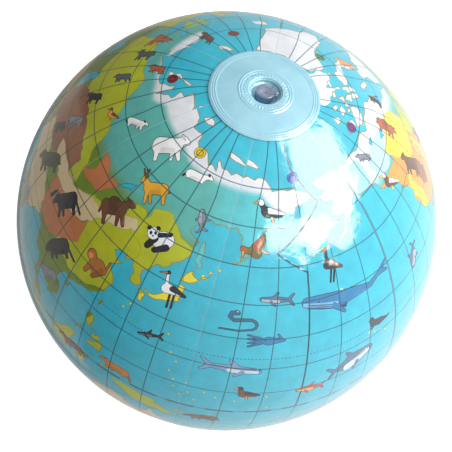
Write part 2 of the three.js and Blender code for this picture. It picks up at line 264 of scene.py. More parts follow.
LANDS = {
    "eurasia": ARCTIC_COAST + EUROPE_COAST + SOUTH_ASIA_COAST + EAST_ASIA_COAST,
    "north_america": NORTH_AMERICA_NORTH + NORTH_AMERICA_SOUTH,
    "south_america": [
        (282, 9), (286, 11), (290, 12), (298, 10.5), (303, 6), (310, 1), (316, -2.5), (325, -6),
        (321.5, -13), (320, -20), (312, -25), (311, -31), (303, -34.5), (298, -39), (295, -42),
        (292.5, -47), (291, -53), (286, -52), (285, -46), (286.5, -40), (286.5, -34), (289.5, -25),
        (289.5, -18), (284, -14), (279, -6), (280, 0), (283, 4)],
    "africa": [
        (-6, 35.5), (10, 37), (11, 33.5), (20, 31), (30, 31), (34, 28), (37, 21), (43, 11.5), (51, 11.8),
        (42, -1), (39, -6), (40.5, -15), (35, -24), (32, -28.5), (26, -34), (18.5, -34), (15, -27),
        (12, -17), (13, -9), (9, -1), (9, 4), (4, 6.3), (-8, 4.5), (-13, 9), (-17, 14.5), (-17, 21),
        (-10, 29)],
    "australia": [
        (114, -22), (122, -18), (127, -14), (130.5, -11.5), (136, -12), (135.5, -15), (140, -17.5),
        (142.5, -11), (146, -19), (153, -26), (151, -33), (150, -37.5), (144, -38.5), (140, -37),
        (137, -34.5), (131, -31.5), (124, -33.5), (118, -35), (115, -34), (113.5, -26)],
    "greenland": [
        (285, 78), (292, 75.5), (298, 74.3), (303, 71.5), (307, 68), (309, 64), (313, 60.5), (317, 60),
        (320, 64), (328, 66), (336, 69.5), (338, 74), (341, 78), (343, 82), (290, 81.5)],
    "novaya_zemlya": [
        (52.5, 71.3), (56, 73.5), (60, 76), (66, 78.4), (68, 77.6), (61, 75.2), (57, 72.4), (55, 71)],
    "severnaya_zemlya": [(94, 79.6), (98, 80.7), (105, 80.4), (110, 79.5), (104, 79), (97, 79)],
    "siberian_islands": [(140, 77.3), (150, 77), (157, 75.3), (150, 75.4), (142, 76)],
    "svalbard": [(12, 79.4), (20, 79.6), (21, 78), (17, 76.6), (13, 77.8)],
    "kyushu": [(130, 33.7), (132, 33.7), (131.6, 31.6), (130.3, 31.5)],
    "honshu": [
        (131, 34.5), (135.5, 35.7), (137, 37.5), (139.5, 38.5), (140.2, 41.2), (141.8, 41), (142.3, 39.5),
        (140.9, 36), (139.5, 35), (136.5, 34), (133, 34)],
    "hokkaido": [(140, 42.2), (141.5, 45.4), (145.5, 43.6), (143, 42)],
    "sakhalin": [(142, 46.3), (142, 50), (142.6, 54.3), (143.8, 51), (143, 46.6)],
    "luzon_west": [(117.2, 8.4), (119.5, 11.3), (118.6, 9.2)],
    "visayas": [(122, 11.6), (123.4, 11.2), (124.8, 12.3), (125.4, 11), (123.3, 9.2), (122.4, 9.9)],
    "halmahera": [(127.4, 1), (128, 2), (128.6, 1), (128, -0.8)],
    "timor": [(123.6, -10.2), (127, -8.4), (125, -9.6)],
    "flores": [(119, -8.3), (123, -8.2), (121, -9)],
    "new_britain": [(148.5, -5.6), (151.5, -4.2), (152, -5), (150, -6.2)],
    "solomons": [(154.7, -5.4), (157, -7.2), (160, -8.6), (156.5, -7.6)],
    "hainan": [(108.6, 19.2), (110.6, 20), (110, 18.3)],
    "shantar": [(137, 55.1), (138.4, 55), (137.6, 54.6)],
    "kuril_south": [(145.5, 44), (148.5, 45.6), (147, 44.4)],
    "kuril_north": [(154, 49), (156, 50.6), (155.2, 49.4)],
    "aleutians": [(183, 51.6), (190.5, 53.4), (193, 54.4), (189, 52.8)],
    "vancouver": [(231.8, 50.7), (236.5, 48.4), (234.5, 48.8)],
    "taiwan": [(120.4, 23), (121.6, 25.3), (121, 22)],
    "luzon": [(120.5, 18.3), (122.3, 18), (121.7, 14), (124, 12.6), (120.7, 13.8), (119.9, 16)],
    "mindanao": [(122, 7.5), (125.5, 9.8), (126.5, 7), (125, 5.8)],
    "borneo": [(109, 1), (113, 3), (117, 6.5), (119, 5), (117.5, 1), (116, -4), (110.5, -3)],
    "sumatra": [(95.5, 5.5), (98, 4), (104, -2), (106, -6), (102, -4), (98.5, 1)],
    "java": [(105.5, -6.5), (114.5, -7.5), (114, -8.5), (106, -7.5)],
    "sulawesi": [(119.5, 0.5), (124.5, 1.5), (121, -1), (122.5, -5), (120, -5.5), (119, -3)],
    "new_guinea": [(131, -1), (138, -1.8), (145, -5), (150.5, -10.5), (143, -9), (138, -8), (133, -4)],
    "new_zealand_north": [(173, -35), (178, -38), (175.5, -41.5), (174, -39)],
    "new_zealand_south": [(172.7, -40.7), (174, -42), (168.5, -46.7), (166.8, -45.5)],
    "madagascar": [(44, -16), (49.5, -12.5), (50, -16), (47.5, -25), (44, -24.5)],
    "ceylon": [(80, 9.5), (81.7, 7.5), (80.3, 6)],
    "britain": [(-5.5, 50), (1.5, 51.3), (0, 53), (-2, 56), (-3, 58.6), (-6, 56.5), (-3, 54), (-5, 52)],
    "ireland": [(-10, 52), (-6.3, 52.3), (-6, 54.5), (-8.3, 55), (-10, 54)],
    "iceland": [(-24, 65.5), (-16, 66.3), (-13.8, 65), (-18.5, 63.5), (-22.5, 64)],
    "cuba": [(275.5, 22), (279, 23), (285.5, 20.2), (282, 20.2)],
    "hispaniola": [(286, 19.8), (291, 19.3), (288, 17.8)],
    "newfoundland": [(301, 47.8), (304.5, 51.3), (307, 47)],
    "kodiak": [(205.6, 56), (207, 55.9), (206.4, 55)],
}
ARCTIC_BLOCK = [
    (250, 81.6), (253, 80), (258, 78.8), (262, 78.9), (270, 77), (274, 76.5), (283, 76.2), (285, 78),
    (285, 83), (250, 83)]
ARCTIC_ISLANDS = [
    [(247, 77.6), (252, 78.5), (257, 77.8), (252, 77.1)],
    [(262, 78), (268, 78.3), (270, 77.2), (265, 76.9)],
    [(256, 74.5), (258, 75.2), (261, 74.3), (258, 73.6)],
    [(251, 74), (254, 74.6), (256, 73.9), (253, 73.5)],
    [(276, 75.4), (282, 75.8), (284, 74.6), (278, 74.4)],
    [(265, 70.3), (268, 71), (270, 69.5), (267, 68.6)],
    [(288, 62.3), (291, 62.6), (292, 61.8), (289, 61.5)],
    [(236, 72), (240, 74.3), (246, 73.3), (243, 71.3)],
    [(243, 70.5), (248, 72.8), (256, 73.2), (259, 70.5), (252, 68.8), (246, 69.3)],
    [(262, 71.5), (264, 74), (268, 73.7), (269, 71)],
    [(246, 75.3), (250, 76.6), (256, 76.2), (252, 74.9)],
    [(259, 74.7), (263, 76.6), (267, 75.4), (263, 74.4)],
    [(270, 73.2), (275, 73.8), (281, 72.8), (287, 71), (292, 68.5), (296, 65.8), (292, 62.8), (286, 65),
     (287, 68), (280, 70), (272, 70.8)],
    [(272, 65), (277, 65.8), (279, 63.5), (275, 62.8)],
    [(233, 76.2), (240, 77.3), (244, 76.3), (237, 75.6)],
]
LAND_BIOMES = [
    ([(30, 60), (60, 63.7), (68, 61.5), (78, 57), (83, 53.5), (84.5, 50), (86, 47.5), (89, 46), (91, 43),
      (93, 39.5), (88, 39.3), (60, 44), (30, 50)], OLIVE),
    ([(90, 52.5), (91.5, 50), (92, 47.5), (90, 45), (90.3, 44), (94, 44), (98, 44.5), (101, 46.5),
      (105, 51), (101.5, 51), (98, 50), (95, 51.5)], ORANGE),
    ([(93, 39.5), (100, 44), (107, 46), (112, 51.5), (115, 52.5), (119, 52.5), (120.5, 50.8), (122, 55),
      (125, 56.2), (129, 55.2), (133, 52.5), (137, 51.5), (141, 50), (141, 42), (131, 40), (131, 33),
      (118, 33), (112, 36)], OLIVE),
    ([(74, 38.5), (79, 39.5), (87, 39.3), (93, 39.3), (96, 41.5), (100, 43.2), (105, 43.5), (112, 46),
      (119, 49.5), (120.5, 48), (113, 43.5), (108, 41.5), (104, 38), (99, 35.5), (93, 35), (85, 35),
      (78, 35.5), (75, 36.5)], BEIGE),
    ([(86, 35), (93, 35), (99, 35.5), (104, 37.5), (107, 34), (106, 31), (100, 24.5), (98, 21), (95, 24),
      (90, 24), (87, 28), (85.5, 32)], ORANGE),
    ([(104, 38), (108, 41.5), (113, 43.5), (118, 46.5), (124, 44), (124, 31), (120, 27), (116, 24),
      (110, 23.5), (104, 24.5), (100, 25), (106, 31), (107, 34)], OLIVE),
    ([(95, 24), (100, 25), (110, 23.5), (124, 27), (122, 18), (110, 0), (96, 0), (91, 18)], LEAF),
    ([(50, 40), (62, 47), (74, 47), (86, 44), (87, 39.3), (79, 39.5), (74, 38.5), (75, 36.5), (78, 35.5),
      (72, 33), (56, 33)], BROWN),
    ([(62, 33), (72, 33), (82, 30), (88, 27), (90, 20), (84, 12), (80, 15), (77, 18), (70, 24), (62, 24)],
     BEIGE),
    ([(33, 34), (46, 37), (58, 26), (62, 20), (46, 10), (32, 20)], BEIGE),
    ([(-20, 34), (12, 38), (33, 33), (38, 20), (36, 15), (-20, 15)], BEIGE),
    ([(8, 8), (28, 6), (32, -6), (24, -12), (12, -8)], LEAF),
    ([(14, -18), (26, -20), (24, -30), (16, -30)], ORANGE),
    ([(114, -20), (140, -18), (143, -30), (117, -31)], ORANGE),
    ([(284, 4), (312, 2), (324, -8), (304, -16), (288, -12)], LEAF),
    ([(286, -20), (294, -24), (294, -52), (285, -52)], BROWN),
    ([(226, 64), (238, 66), (247, 63), (246, 58), (236, 57), (228, 59)], FROST),
    ([(222, 58), (230, 57.5), (238, 55.5), (243, 56.5), (246, 47), (234, 46), (229, 52)], AMBER),
    ([(240, 60), (255, 61), (266, 57), (264, 49), (252, 47), (242, 54)], YELLOW),
    ([(242, 54), (252, 47.5), (264, 49), (264, 40), (250, 31), (236, 34), (235, 47)], AMBER),
    ([(236.5, 47), (240.5, 50), (242.5, 40), (241, 35), (238, 36)], YELLOW),
    ([(245, 48), (250, 46), (253, 39), (249, 36), (246, 40)], BROWN),
    ([(255.5, 47), (260, 46.5), (261, 37), (257, 35)], YELLOW),
    ([(262, 50), (272, 50), (284, 46), (282, 30), (262, 30)], OLIVE),
    ([(205, 60.5), (205, 68), (213, 68.5), (221, 67.5), (221, 60.5), (213, 61)], MIST),
]
LAKES = [
    [(104, 51.6), (107, 53.5), (110, 55.6), (109.4, 53.5), (106, 51.5)],
    [(47, 44), (51, 47), (53, 45), (51, 43), (54, 40), (52, 36.7), (49, 38)],
    [(28, 44), (34, 46.3), (40, 43), (38, 41), (30, 41.3)],
    [(237, 66), (241, 66.6), (239, 64.8)],
    [(244, 62), (250, 62.6), (247, 61)],
    [(268, 47), (275, 48.5), (275.5, 46.3), (270, 46.5)],
    [(272.5, 42), (274.5, 45.7), (273.6, 42)],
    [(32, -2), (34, 0.3), (33.6, -2.4)],
]


# where the white tundra begins: (east longitude, north latitude); east of 160° it drops to 63°, partly as a
# painted highlight, with white land standing in for the window's reflection there
SNOW_AND_HIGHLIGHT_LINE = [(45, 66.2), (60, 67.3), (75, 67.3), (82, 70.5), (108, 70.5), (122, 68), (160, 68), (170, 63)]
EUROPE_END = 20  # east longitude


def eurasia_ink(longitude, latitude):
    """White tundra in the north, teal forest below it that pales towards the far east, then green; in the far
    east the white comes further south, partly as a painted highlight.
    """
    forest = mix(TAIGA, FAR_EAST, past(longitude, 135, 20))
    snow_line = np.interp(longitude, *zip(*SNOW_AND_HIGHLIGHT_LINE))
    north = mix(forest, TUNDRA, past(latitude, snow_line, 1.5))
    if longitude > EUROPE_END:
        return mix(LEAF, north, past(latitude, 50, 4))
    return mix(OLIVE, north, past(latitude, 58, 5))


def america_ink(longitude, latitude):
    """White tundra that comes further south in the east, a belt of teal forest, then green."""
    south = mix(LEAF, OLIVE, past(latitude, 25, 15))
    snow_line = 57.5 - 7 * past(longitude, 260, 14)
    return mix(mix(south, TAIGA, past(latitude, snow_line - 5, 3)), TUNDRA, past(latitude, snow_line, 4))


LAND_INKS = {
    "eurasia": eurasia_ink, "north_america": america_ink, "australia": BEIGE, "sakhalin": FAR_EAST,
    **dict.fromkeys(("greenland", "novaya_zemlya", "severnaya_zemlya", "siberian_islands", "svalbard",
                     "iceland", "newfoundland"), TUNDRA),
    **dict.fromkeys(("honshu", "hokkaido", "kuril_south", "kyushu"), YELLOW),
}

# ---- animals: flat shapes, in fractions of each animal's length ----
END_STEPS = 6  # edges round each end of a stroke


class Shape:
    """A tapered stroke between two round ends; a round spot if both ends are the same."""

    def __init__(self, ends, radii, ink, flat=1, lean=0):
        self.ends, self.radii, self.ink, self.flat, self.lean = ends, radii, ink, flat, lean

    def outline(self, grow):
        (x_a, y_a), (x_b, y_b) = self.ends
        radius_a, radius_b = (r + grow for r in self.radii)
        turn = math.atan2(y_b - y_a, x_b - x_a) if self.ends[0] != self.ends[1] else self.lean
        cos, sin = math.cos(turn), math.sin(turn)
        points = []
        for x, y, radius, start in ((x_b, y_b, radius_b, -90), (x_a, y_a, radius_a, 90)):
            for angle in between(start, start + 180, END_STEPS):
                along, across = radius * cos_of(angle), radius * sin_of(angle) * self.flat
                points.append((x + along * cos - across * sin, y + along * sin + across * cos))
        return points


def stroke(x_a, y_a, x_b, y_b, radius_a, radius_b, ink):
    return Shape(((x_a, y_a), (x_b, y_b)), (radius_a, radius_b), ink)


def strokes(ink, *rows):
    """Strokes of one ink; each row is x and y of both ends, then both radii."""
    return [stroke(*row, ink) for row in rows]


def spot(x, y, radius, ink, flat=1, lean=0):
    return Shape(((x, y), (x, y)), (radius, radius), ink, flat, math.radians(lean))


def beast(size, coat, back=0.0, leg=0.3, neck=(0.12, 0.04), snout=0.1, tail=0.2, horn=0.0, second=None):
    """A four-legged animal that faces west, drawn from its far legs to its eye."""
    second = second or shade(coat, 0.7)
    head_x, head_y = -0.3 - neck[0], 0.06 + neck[1]
    parts = [stroke(x, 0, x + lean, -leg, 0.06, 0.032, shade(coat, 0.82))
             for x, lean in ((-0.16, 0.05), (0.3, -0.04))]
    parts += strokes(second, (0.33, 0.05, 0.4 + tail * 0.3, -tail, 0.025, 0.02))
    parts += strokes(coat, (-0.22, 0.02, 0.24, 0.02, 0.15, 0.16))
    parts += strokes(shade(coat, 0.8), (-0.2, -0.07, 0.22, -0.08, 0.05, 0.06))
    if back:
        parts += [spot(0, 0.1, 0.12 + back, second, 0.8)]
    parts += strokes(coat, (-0.22, 0.06, head_x, head_y, 0.11, 0.075))
    parts += [stroke(x, 0, x + lean, -leg, 0.065, 0.036, coat) for x, lean in ((-0.24, -0.05), (0.22, 0.06))]
    parts += strokes(coat, (head_x, head_y, head_x - snout, head_y - 0.05, 0.08, 0.045))
    parts += strokes(second, (head_x + 0.03, head_y + 0.05, head_x + 0.06, head_y + 0.09, 0.04, 0.024))
    if horn:
        tip = head_y + horn
        parts += strokes(second, (head_x, head_y + 0.05, head_x - 0.08, tip, 0.022, 0.012),
                         (head_x, head_y + 0.05, head_x + 0.1, tip, 0.022, 0.012),
                         (head_x + 0.06, head_y + horn * 0.6, head_x + 0.02, tip, 0.018, 0.01))
    return size, parts + [spot(head_x - 0.01, head_y + 0.01, 0.014, DARK)]


def panda(size):
    parts = [spot(0.12, -0.02, 0.3, ICE, 0.85)]
    parts += strokes(DARK, (-0.1, 0.02, -0.3, -0.18, 0.1, 0.08), (0.2, -0.22, -0.1, -0.3, 0.1, 0.07))
    parts += [spot(-0.16, 0.16, 0.17, ICE)]
    parts += [spot(x, 0.3, 0.055, DARK) for x in (-0.28, -0.04)]
    parts += [spot(x, 0.17, 0.04, DARK, 1.3) for x in (-0.23, -0.1)]
    parts += [spot(-0.17, 0.09, 0.025, DARK)]
    return size, parts + strokes(DARK, (0.02, 0.12, 0.3, 0.14, 0.07, 0.06))


def ape(size, coat):
    parts = [spot(0.08, -0.06, 0.24, coat, 0.9)]
    parts += strokes(coat, (-0.05, 0.06, -0.32, -0.22, 0.07, 0.05))
    parts += strokes(shade(coat, 0.75), (0.2, -0.16, -0.08, -0.32, 0.09, 0.05))
    parts += [spot(-0.1, 0.2, 0.15, coat), spot(-0.14, 0.18, 0.08, shade(coat, 1.9))]
    return size, parts + strokes(coat, (0.28, -0.2, 0.46, 0.1, 0.03, 0.02))


def wader(size, body, wing):
    """A long-legged bird."""
    parts = [stroke(x, -0.1, x + 0.02, -0.5, 0.016, 0.014, DARK) for x in (0.0, 0.1)]
    parts += strokes(body, (-0.12, 0, 0.22, -0.08, 0.13, 0.05))
    parts += strokes(wing, (0.02, 0.02, 0.34, -0.12, 0.08, 0.03))
    parts += strokes(body, (-0.14, 0.04, -0.2, 0.36, 0.04, 0.028))
    parts += [spot(-0.21, 0.4, 0.05, wing)]
    return size, parts + strokes(ORANGE, (-0.24, 0.4, -0.4, 0.36, 0.018, 0.008))


def seabird(size, body, wing, beak=AMBER):
    parts = strokes(body, (-0.1, -0.05, 0.3, -0.12, 0.16, 0.06))
    parts += strokes(wing, (0.0, 0.0, 0.42, -0.1, 0.09, 0.03))
    parts += strokes(body, (-0.14, 0.02, -0.22, 0.2, 0.09, 0.07))
    parts += [spot(-0.22, 0.23, 0.09, wing)]
    parts += strokes(beak, (-0.3, 0.22, -0.42, 0.19, 0.03, 0.012), (0.02, -0.2, 0.04, -0.32, 0.02, 0.03))
    return size, parts


def swimmer(size, back, belly, girth=0.12, tail=0.14, fin=0.1):
    """A fish that swims west."""
    parts = strokes(back, (0.36, 0, 0.48, tail, 0.035, 0.02), (0.36, 0, 0.48, -tail, 0.035, 0.02),
                    (0.02, girth * 0.7, 0.1, girth + fin, 0.05, 0.015),
                    (-0.3, 0, 0.02, 0, girth * 0.55, girth), (0.02, 0, 0.38, 0, girth, 0.03))
    parts += strokes(belly, (-0.28, -0.02, 0.1, -girth * 0.45, girth * 0.35, girth * 0.5))
    parts += strokes(shade(back, 0.5), (-0.26, 0.02, 0.34, 0.01, 0.012, 0.008))
    parts += strokes(back, (-0.08, -girth * 0.5, 0.02, -girth - fin * 0.7, 0.035, 0.012))
    return size, parts + [spot(-0.31, 0.02, 0.014, DARK)]


def big_whale(size, back, belly):
    parts = strokes(back, (0.3, 0.05, 0.44, 0.14, 0.03, 0.02), (0.43, 0.13, 0.5, 0.22, 0.028, 0.01),
                    (0.43, 0.13, 0.53, 0.12, 0.028, 0.01), (-0.42, 0, -0.1, 0, 0.05, 0.085),
                    (-0.1, 0, 0.32, 0.05, 0.085, 0.025))
    parts += strokes(belly, (-0.44, -0.03, -0.1, -0.05, 0.02, 0.035))
    parts += [stroke(-0.4, y, 0.02, y * 1.3 - 0.01, 0.005, 0.005, shade(back, 0.5))
              for y in (-0.03, -0.045, -0.06)]
    parts += strokes(back, (-0.12, -0.05, 0.02, -0.14, 0.03, 0.012))
    return size, parts + [spot(-0.3, 0.0, 0.01, DARK)]


def chain(path, thick, thin, ink):
    """A soft body along a path, thinning evenly."""
    radii = between(thick, thin, len(path) - 1)
    return [stroke(*a, *b, r_a, r_b, ink) for a, b, r_a, r_b in zip(path, path[1:], radii, radii[1:])]


def eel(size, coat):
    loop = [(0.28 + 0.15 * cos_of(a), -0.02 + 0.13 * sin_of(a)) for a in (80, 40, 0, -40, -80)]
    path = [(0.0, 0.26), (-0.14, 0.24), (-0.2, 0.14), (-0.1, 0.06), (0.1, 0.09)]
    path += loop + [(0, -0.2), (-0.46, -0.2)]
    eye = [spot(-0.02, 0.27, 0.05, coat), spot(-0.01, 0.29, 0.014, ICE)]
    return size, chain(path, 0.045, 0.012, coat) + eye


def squid(size, coat):
    parts = strokes(coat, (0.0, 0, 0.34, 0, 0.1, 0.02), (0.3, 0, 0.2, 0.16, 0.03, 0.01))
    parts += [stroke(-0.02, 0, -0.42, offset, 0.035, 0.012, shade(coat, 0.85))
              for offset in (-0.14, -0.05, 0.05, 0.14)]
    return size, parts + [spot(-0.04, 0.0, 0.08, coat), spot(-0.06, 0.02, 0.018, DARK)]


def seal(size, coat):
    parts = strokes(coat, (-0.26, 0.02, 0.1, -0.08, 0.12, 0.13), (0.1, -0.08, 0.42, -0.12, 0.13, 0.03),
                    (-0.28, 0.06, -0.36, 0.22, 0.1, 0.08), (-0.2, -0.06, -0.32, -0.22, 0.05, 0.02),
                    (0.4, -0.12, 0.5, -0.05, 0.03, 0.015))
    return size, parts + [spot(-0.42, 0.2, 0.03, shade(coat, 1.6)), spot(-0.38, 0.25, 0.013, DARK)]


def mirrored(animal):
    """The same animal, facing east."""
    size, parts = animal
    return size, [Shape(tuple((-x, y) for x, y in part.ends), part.radii, part.ink, part.flat, -part.lean)
                  for part in parts]


WHITE_COAT = rgb(240, 240, 240)
GREY_COAT = rgb(132, 140, 150)
SAND_COAT = rgb(214, 172, 84)
RUST_COAT = rgb(178, 92, 52)
BROWN_COAT = rgb(112, 74, 50)
NIGHT_COAT = rgb(44, 44, 50)
SILVER = rgb(158, 172, 184)
STEEL = rgb(88, 112, 142)
NAVY = rgb(42, 122, 172)
PALE_BELLY = rgb(196, 214, 228)
RED_FIN = rgb(200, 66, 54)

# (animal, east longitude, north latitude, turn in degrees)
ANIMALS = [
    (mirrored(beast(29, WHITE_COAT, leg=0.26, tail=0.04, neck=(0.1, 0.08), second=rgb(200, 205, 210))),
     104, 67.5, 42),
    (beast(22, rgb(226, 168, 48), leg=0.38, neck=(0.08, 0.18), horn=0.26, tail=0.06, snout=0.07,
           second=rgb(120, 84, 30)), 116, 58, 34),
    (mirrored(beast(17, WHITE_COAT, leg=0.12, tail=0.16, second=DARK, neck=(0.14, 0.1))), 127, 67, 10),
    (swimmer(18, GREY_COAT, SILVER), 138.5, 58.5, -55),
    (panda(23), 128, 48.5, 30),
    (mirrored(beast(27, BROWN_COAT, back=0.08, leg=0.34, neck=(0.14, 0.1), tail=0.12,
                    second=rgb(92, 62, 42))), 109, 46.5, 34),
    (beast(28, NIGHT_COAT, leg=0.26, tail=0.3), 95, 35, 50),
    (ape(26, rgb(176, 112, 58)), 115, 31.5, 30),
    (beast(30, NIGHT_COAT, leg=0.2, neck=(0.1, -0.04), tail=0.3), 102.5, 24.5, 48),
    (beast(31, rgb(60, 70, 52), leg=0.24, neck=(0.1, 0.06), tail=0.05), 78, 32, 60),
    (beast(21, GREY_COAT, leg=0.26, horn=0.14, tail=0.16), 104, 15, 30),
    (wader(26, ICE, NIGHT_COAT), 138.5, 38.5, 12),
    (beast(18, GREY_COAT, neck=(0.1, 0.06)), 70, 43, 70),
    (mirrored(beast(15, WHITE_COAT, leg=0.28, neck=(0.08, 0.06), tail=0.1, second=DARK)), 84, 62.5, 60),
    (seabird(13, AMBER, BROWN_COAT), 75, 56, 60),
    (beast(16, NIGHT_COAT, neck=(0.1, 0.06), tail=0.1), 63, 49, 70),
    (beast(15, rgb(86, 92, 100), leg=0.24, tail=0.22), 56, 57, 80),
    (beast(14, RUST_COAT, leg=0.24, tail=0.22), 52, 67, 70),
    (beast(17, rgb(84, 88, 84), neck=(0.1, 0.14), horn=0.12, tail=0.06), 42, 60, 80),
    (beast(15, BROWN_COAT, leg=0.24, tail=0.22), 18, 71, 100),
    (mirrored(beast(20, RUST_COAT, leg=0.24, tail=0.22)), 30, 60, 100),
    (eel(27, rgb(46, 104, 140)), 159.5, 34.5, 0),
    (swimmer(26, STEEL, SILVER, girth=0.085), 169, 41.5, -2),
    (squid(31, NAVY), 168.5, 29.5, 0),
    (mirrored(swimmer(48, rgb(120, 158, 190), PALE_BELLY, girth=0.07, tail=0.1, fin=0.08)), 161.5, 19.5, -4),
    (swimmer(20, NIGHT_COAT, STEEL, girth=0.07, fin=0.12), 137, 23, 20),
    (seabird(21, BROWN_COAT, NIGHT_COAT), 165.5, 10, 0),
    (swimmer(24, RED_FIN, SAND_COAT, girth=0.14), 182, 9, -4),
    (big_whale(66, NAVY, rgb(120, 176, 214)), 192, 37.8, -10),
    (mirrored(swimmer(40, STEEL, PALE_BELLY, girth=0.2)), 194.5, 14.5, 14),
    (wader(23, NIGHT_COAT, BROWN_COAT), 189, 48.5, -10),
    (swimmer(22, STEEL, SILVER, girth=0.2), 222, 33, 60),
    (seal(20, rgb(56, 60, 72)), 203, 24.5, 0),
    (seabird(24, rgb(120, 106, 50), RUST_COAT), 161, 55, 62),
    (seabird(21, NIGHT_COAT, ICE), 166, 64.5, 0),
    (seal(18, GREY_COAT), 191, 59, 0),
    (beast(24, rgb(196, 132, 60), leg=0.2, tail=0.3), 132, 4, 0),
    (beast(24, BROWN_COAT, leg=0.26, neck=(0.12, 0.06)), 118, -1, 10),
    (beast(26, SAND_COAT, leg=0.22, neck=(0.12, 0.0), tail=0.3), 139, -19, 8),
    (beast(24, BROWN_COAT, leg=0.18, back=0.05, neck=(0.1, 0.0), snout=0.14, tail=0.12), 157, -6.5, 4),
    (beast(16, NIGHT_COAT, leg=0.26, neck=(0.1, 0.04)), 68, 36, 70),
    (seabird(20, BROWN_COAT, ICE, YELLOW), 230, 55.5, -40),
    (mirrored(beast(22, RUST_COAT, leg=0.22, neck=(0.1, 0.02), horn=0.1, back=0.05, tail=0.05)),
     254, 60, -80),
    (beast(24, BROWN_COAT, leg=0.28, neck=(0.12, 0.1)), 246, 48, -60),
    (beast(21, SAND_COAT, leg=0.32, neck=(0.12, 0.14)), 256, 42, -60),
    (beast(17, AMBER, leg=0.2, neck=(0.1, 0.04), tail=0.12), 291, 64.5, -130),
    (beast(14, NIGHT_COAT, leg=0.26, neck=(0.1, 0.04), tail=0.12), 268, 62, -90),
    (beast(12, GREY_COAT, leg=0.2, neck=(0.1, 0.04), tail=0.12), 228, 66, -50),
    (beast(22, BROWN_COAT, leg=0.24, back=0.07, neck=(0.1, 0.0), horn=0.1, tail=0.12), 265, 38, -60),
    (swimmer(30, STEEL, PALE_BELLY), 318, 44, 0),
    (ape(15, RUST_COAT), 300, -6, 0),
    (beast(22, SAND_COAT, leg=0.32, neck=(0.08, 0.2), tail=0.05), 291, -28, 0),
    (beast(23, SAND_COAT, leg=0.28, neck=(0.1, 0.04), tail=0.3), 22, 4, 0),
    (beast(25, GREY_COAT, leg=0.26, neck=(0.12, 0.0), snout=0.2, tail=0.12), 25, -16, 0),
    (beast(21, AMBER, leg=0.36, neck=(0.14, 0.34), tail=0.16), 36, -3, 0),
    (beast(20, SAND_COAT, back=0.08, leg=0.34, neck=(0.14, 0.14), tail=0.1), 8, 25, 0),
    (beast(23, GREY_COAT, leg=0.26, neck=(0.12, 0.0), snout=0.2, tail=0.12), 78, 17, 10),
    (beast(20, RUST_COAT, leg=0.34, neck=(0.04, 0.16), tail=0.34), 131, -30, 0),
    (big_whale(56, NAVY, PALE_BELLY), 76, -28, -6),
    (swimmer(34, STEEL, PALE_BELLY, girth=0.1), 60, -8, 6),
    (swimmer(30, STEEL, SILVER, girth=0.12), 345, 8, -8),
    (big_whale(58, STEEL, PALE_BELLY), 345, -34, 4),
    (squid(26, RED_FIN), 100, -44, 0),
    (swimmer(26, SAND_COAT, ORANGE, girth=0.2), 186, -18, 0),
    (big_whale(58, NAVY, PALE_BELLY), 235, -38, 6),
    (swimmer(28, STEEL, SILVER, girth=0.1), 236, 4, -6),
    (seal(20, GREY_COAT), 268, -2, 0),
    (seabird(18, ICE, NIGHT_COAT), 158, -47, 0),
    (wader(18, ICE, NIGHT_COAT), 20, -66, 0),
    (seabird(16, ICE, NIGHT_COAT), 110, -64, 0),
    (seabird(16, ICE, NIGHT_COAT), 250, -64, 0),
]
ANIMAL_EDGE = 0.38  # width of an animal's dark edge, mm

# (east longitude, colour) of the round badge near each gore's north tip
BADGES = [
    (0, rgb(150, 62, 50)), (60, rgb(140, 34, 40)), (120, rgb(226, 196, 50)), (180, rgb(54, 104, 190)),
    (240, rgb(122, 62, 132)), (300, rgb(70, 140, 70)),
]
BADGE_LATITUDE = 72.5
BADGE_RADIUS = 3.9  # mm
BADGE_RINGS = (1, 0.88, 0.62, 0.46)  # radii of its dark and coloured discs in turn, against its own radius

ISLETS = [
    (145, 14), (146, 18), (142, 26), (149, 5), (153, 4), (155, 8.5), (150, 11), (146.5, 11), (144, 20.5),
    (147, 8), (151, 7), (158, 7), (163, 6), (167, 9), (171, 8), (172, 2), (179, -16), (177, -18),
    (183, -14), (188, -13), (168, -16), (166, -21), (160, -9), (155, -6), (204, 20), (201.5, 21.2),
    (199.5, 22.1), (205.5, 19), (210, -17), (220, -10), (269, -1), (251, -27), (73, 3), (57.5, -20),
    (55.5, -21), (55, -5), (72, -7), (336, 15), (332, 38), (343, 28), (354, -16), (300, -51.8), (183, 52),
    (187, 53), (178, 52), (146, 45), (148, 46.3), (150.5, 47.6), (128, 27), (129.5, 29),
]
ISLET_RADIUS = 0.75  # mm
ISLET_EDGE = 0.3  # mm


# ---- the printed skin of one gore ----
GORE_REACH = 34  # degrees of arc; nothing further from a gore's middle line can touch the gore
COPY_REACH = 45  # the same in longitude, where the print is squeezed
TINY = 1e-4
COAST_WIDTH = 0.55 * MM
BIOME_EDGE = 0.35 * MM
DATE_LINE_WIDTH = 1.1 * MM
DATE_LINE_STEP = 2.2  # degrees
DATE_LINE = [(180, 0), (180, 48), (169.5, 53.5), (190, 65), (180, 75), (179, 81.5)]


def signed_area(points):
    """Positive if the outline runs anticlockwise."""
    return sum(a[0] * b[1] - b[0] * a[1] for a, b in neighbours(points)) / 2


def inside(x, y, points):
    """Whether a place lies inside an outline."""
    crossings = 0
    for (x_a, y_a), (x_b, y_b) in neighbours(points):
        if (y_a > y) != (y_b > y) and x < x_a + (y - y_a) * (x_b - x_a) / (y_b - y_a):
            crossings += 1
    return crossings % 2 == 1


def oriented(points):
    """The outline run anticlockwise, from an edge that has its inside on the left.

    The triangulation fills from the left of the first edge, so a tiny crossing there would turn the
    outline inside out.
    """
    if signed_area(points) < 0:
        points = points[::-1]
    for k, (a, b) in enumerate(neighbours(points)):
        left = ((a[0] + b[0]) / 2 - (b[1] - a[1]) * 0.05, (a[1] + b[1]) / 2 + (b[0] - a[0]) * 0.05)
        if inside(*left, points):
            return points[k:] + points[:k]
    return points


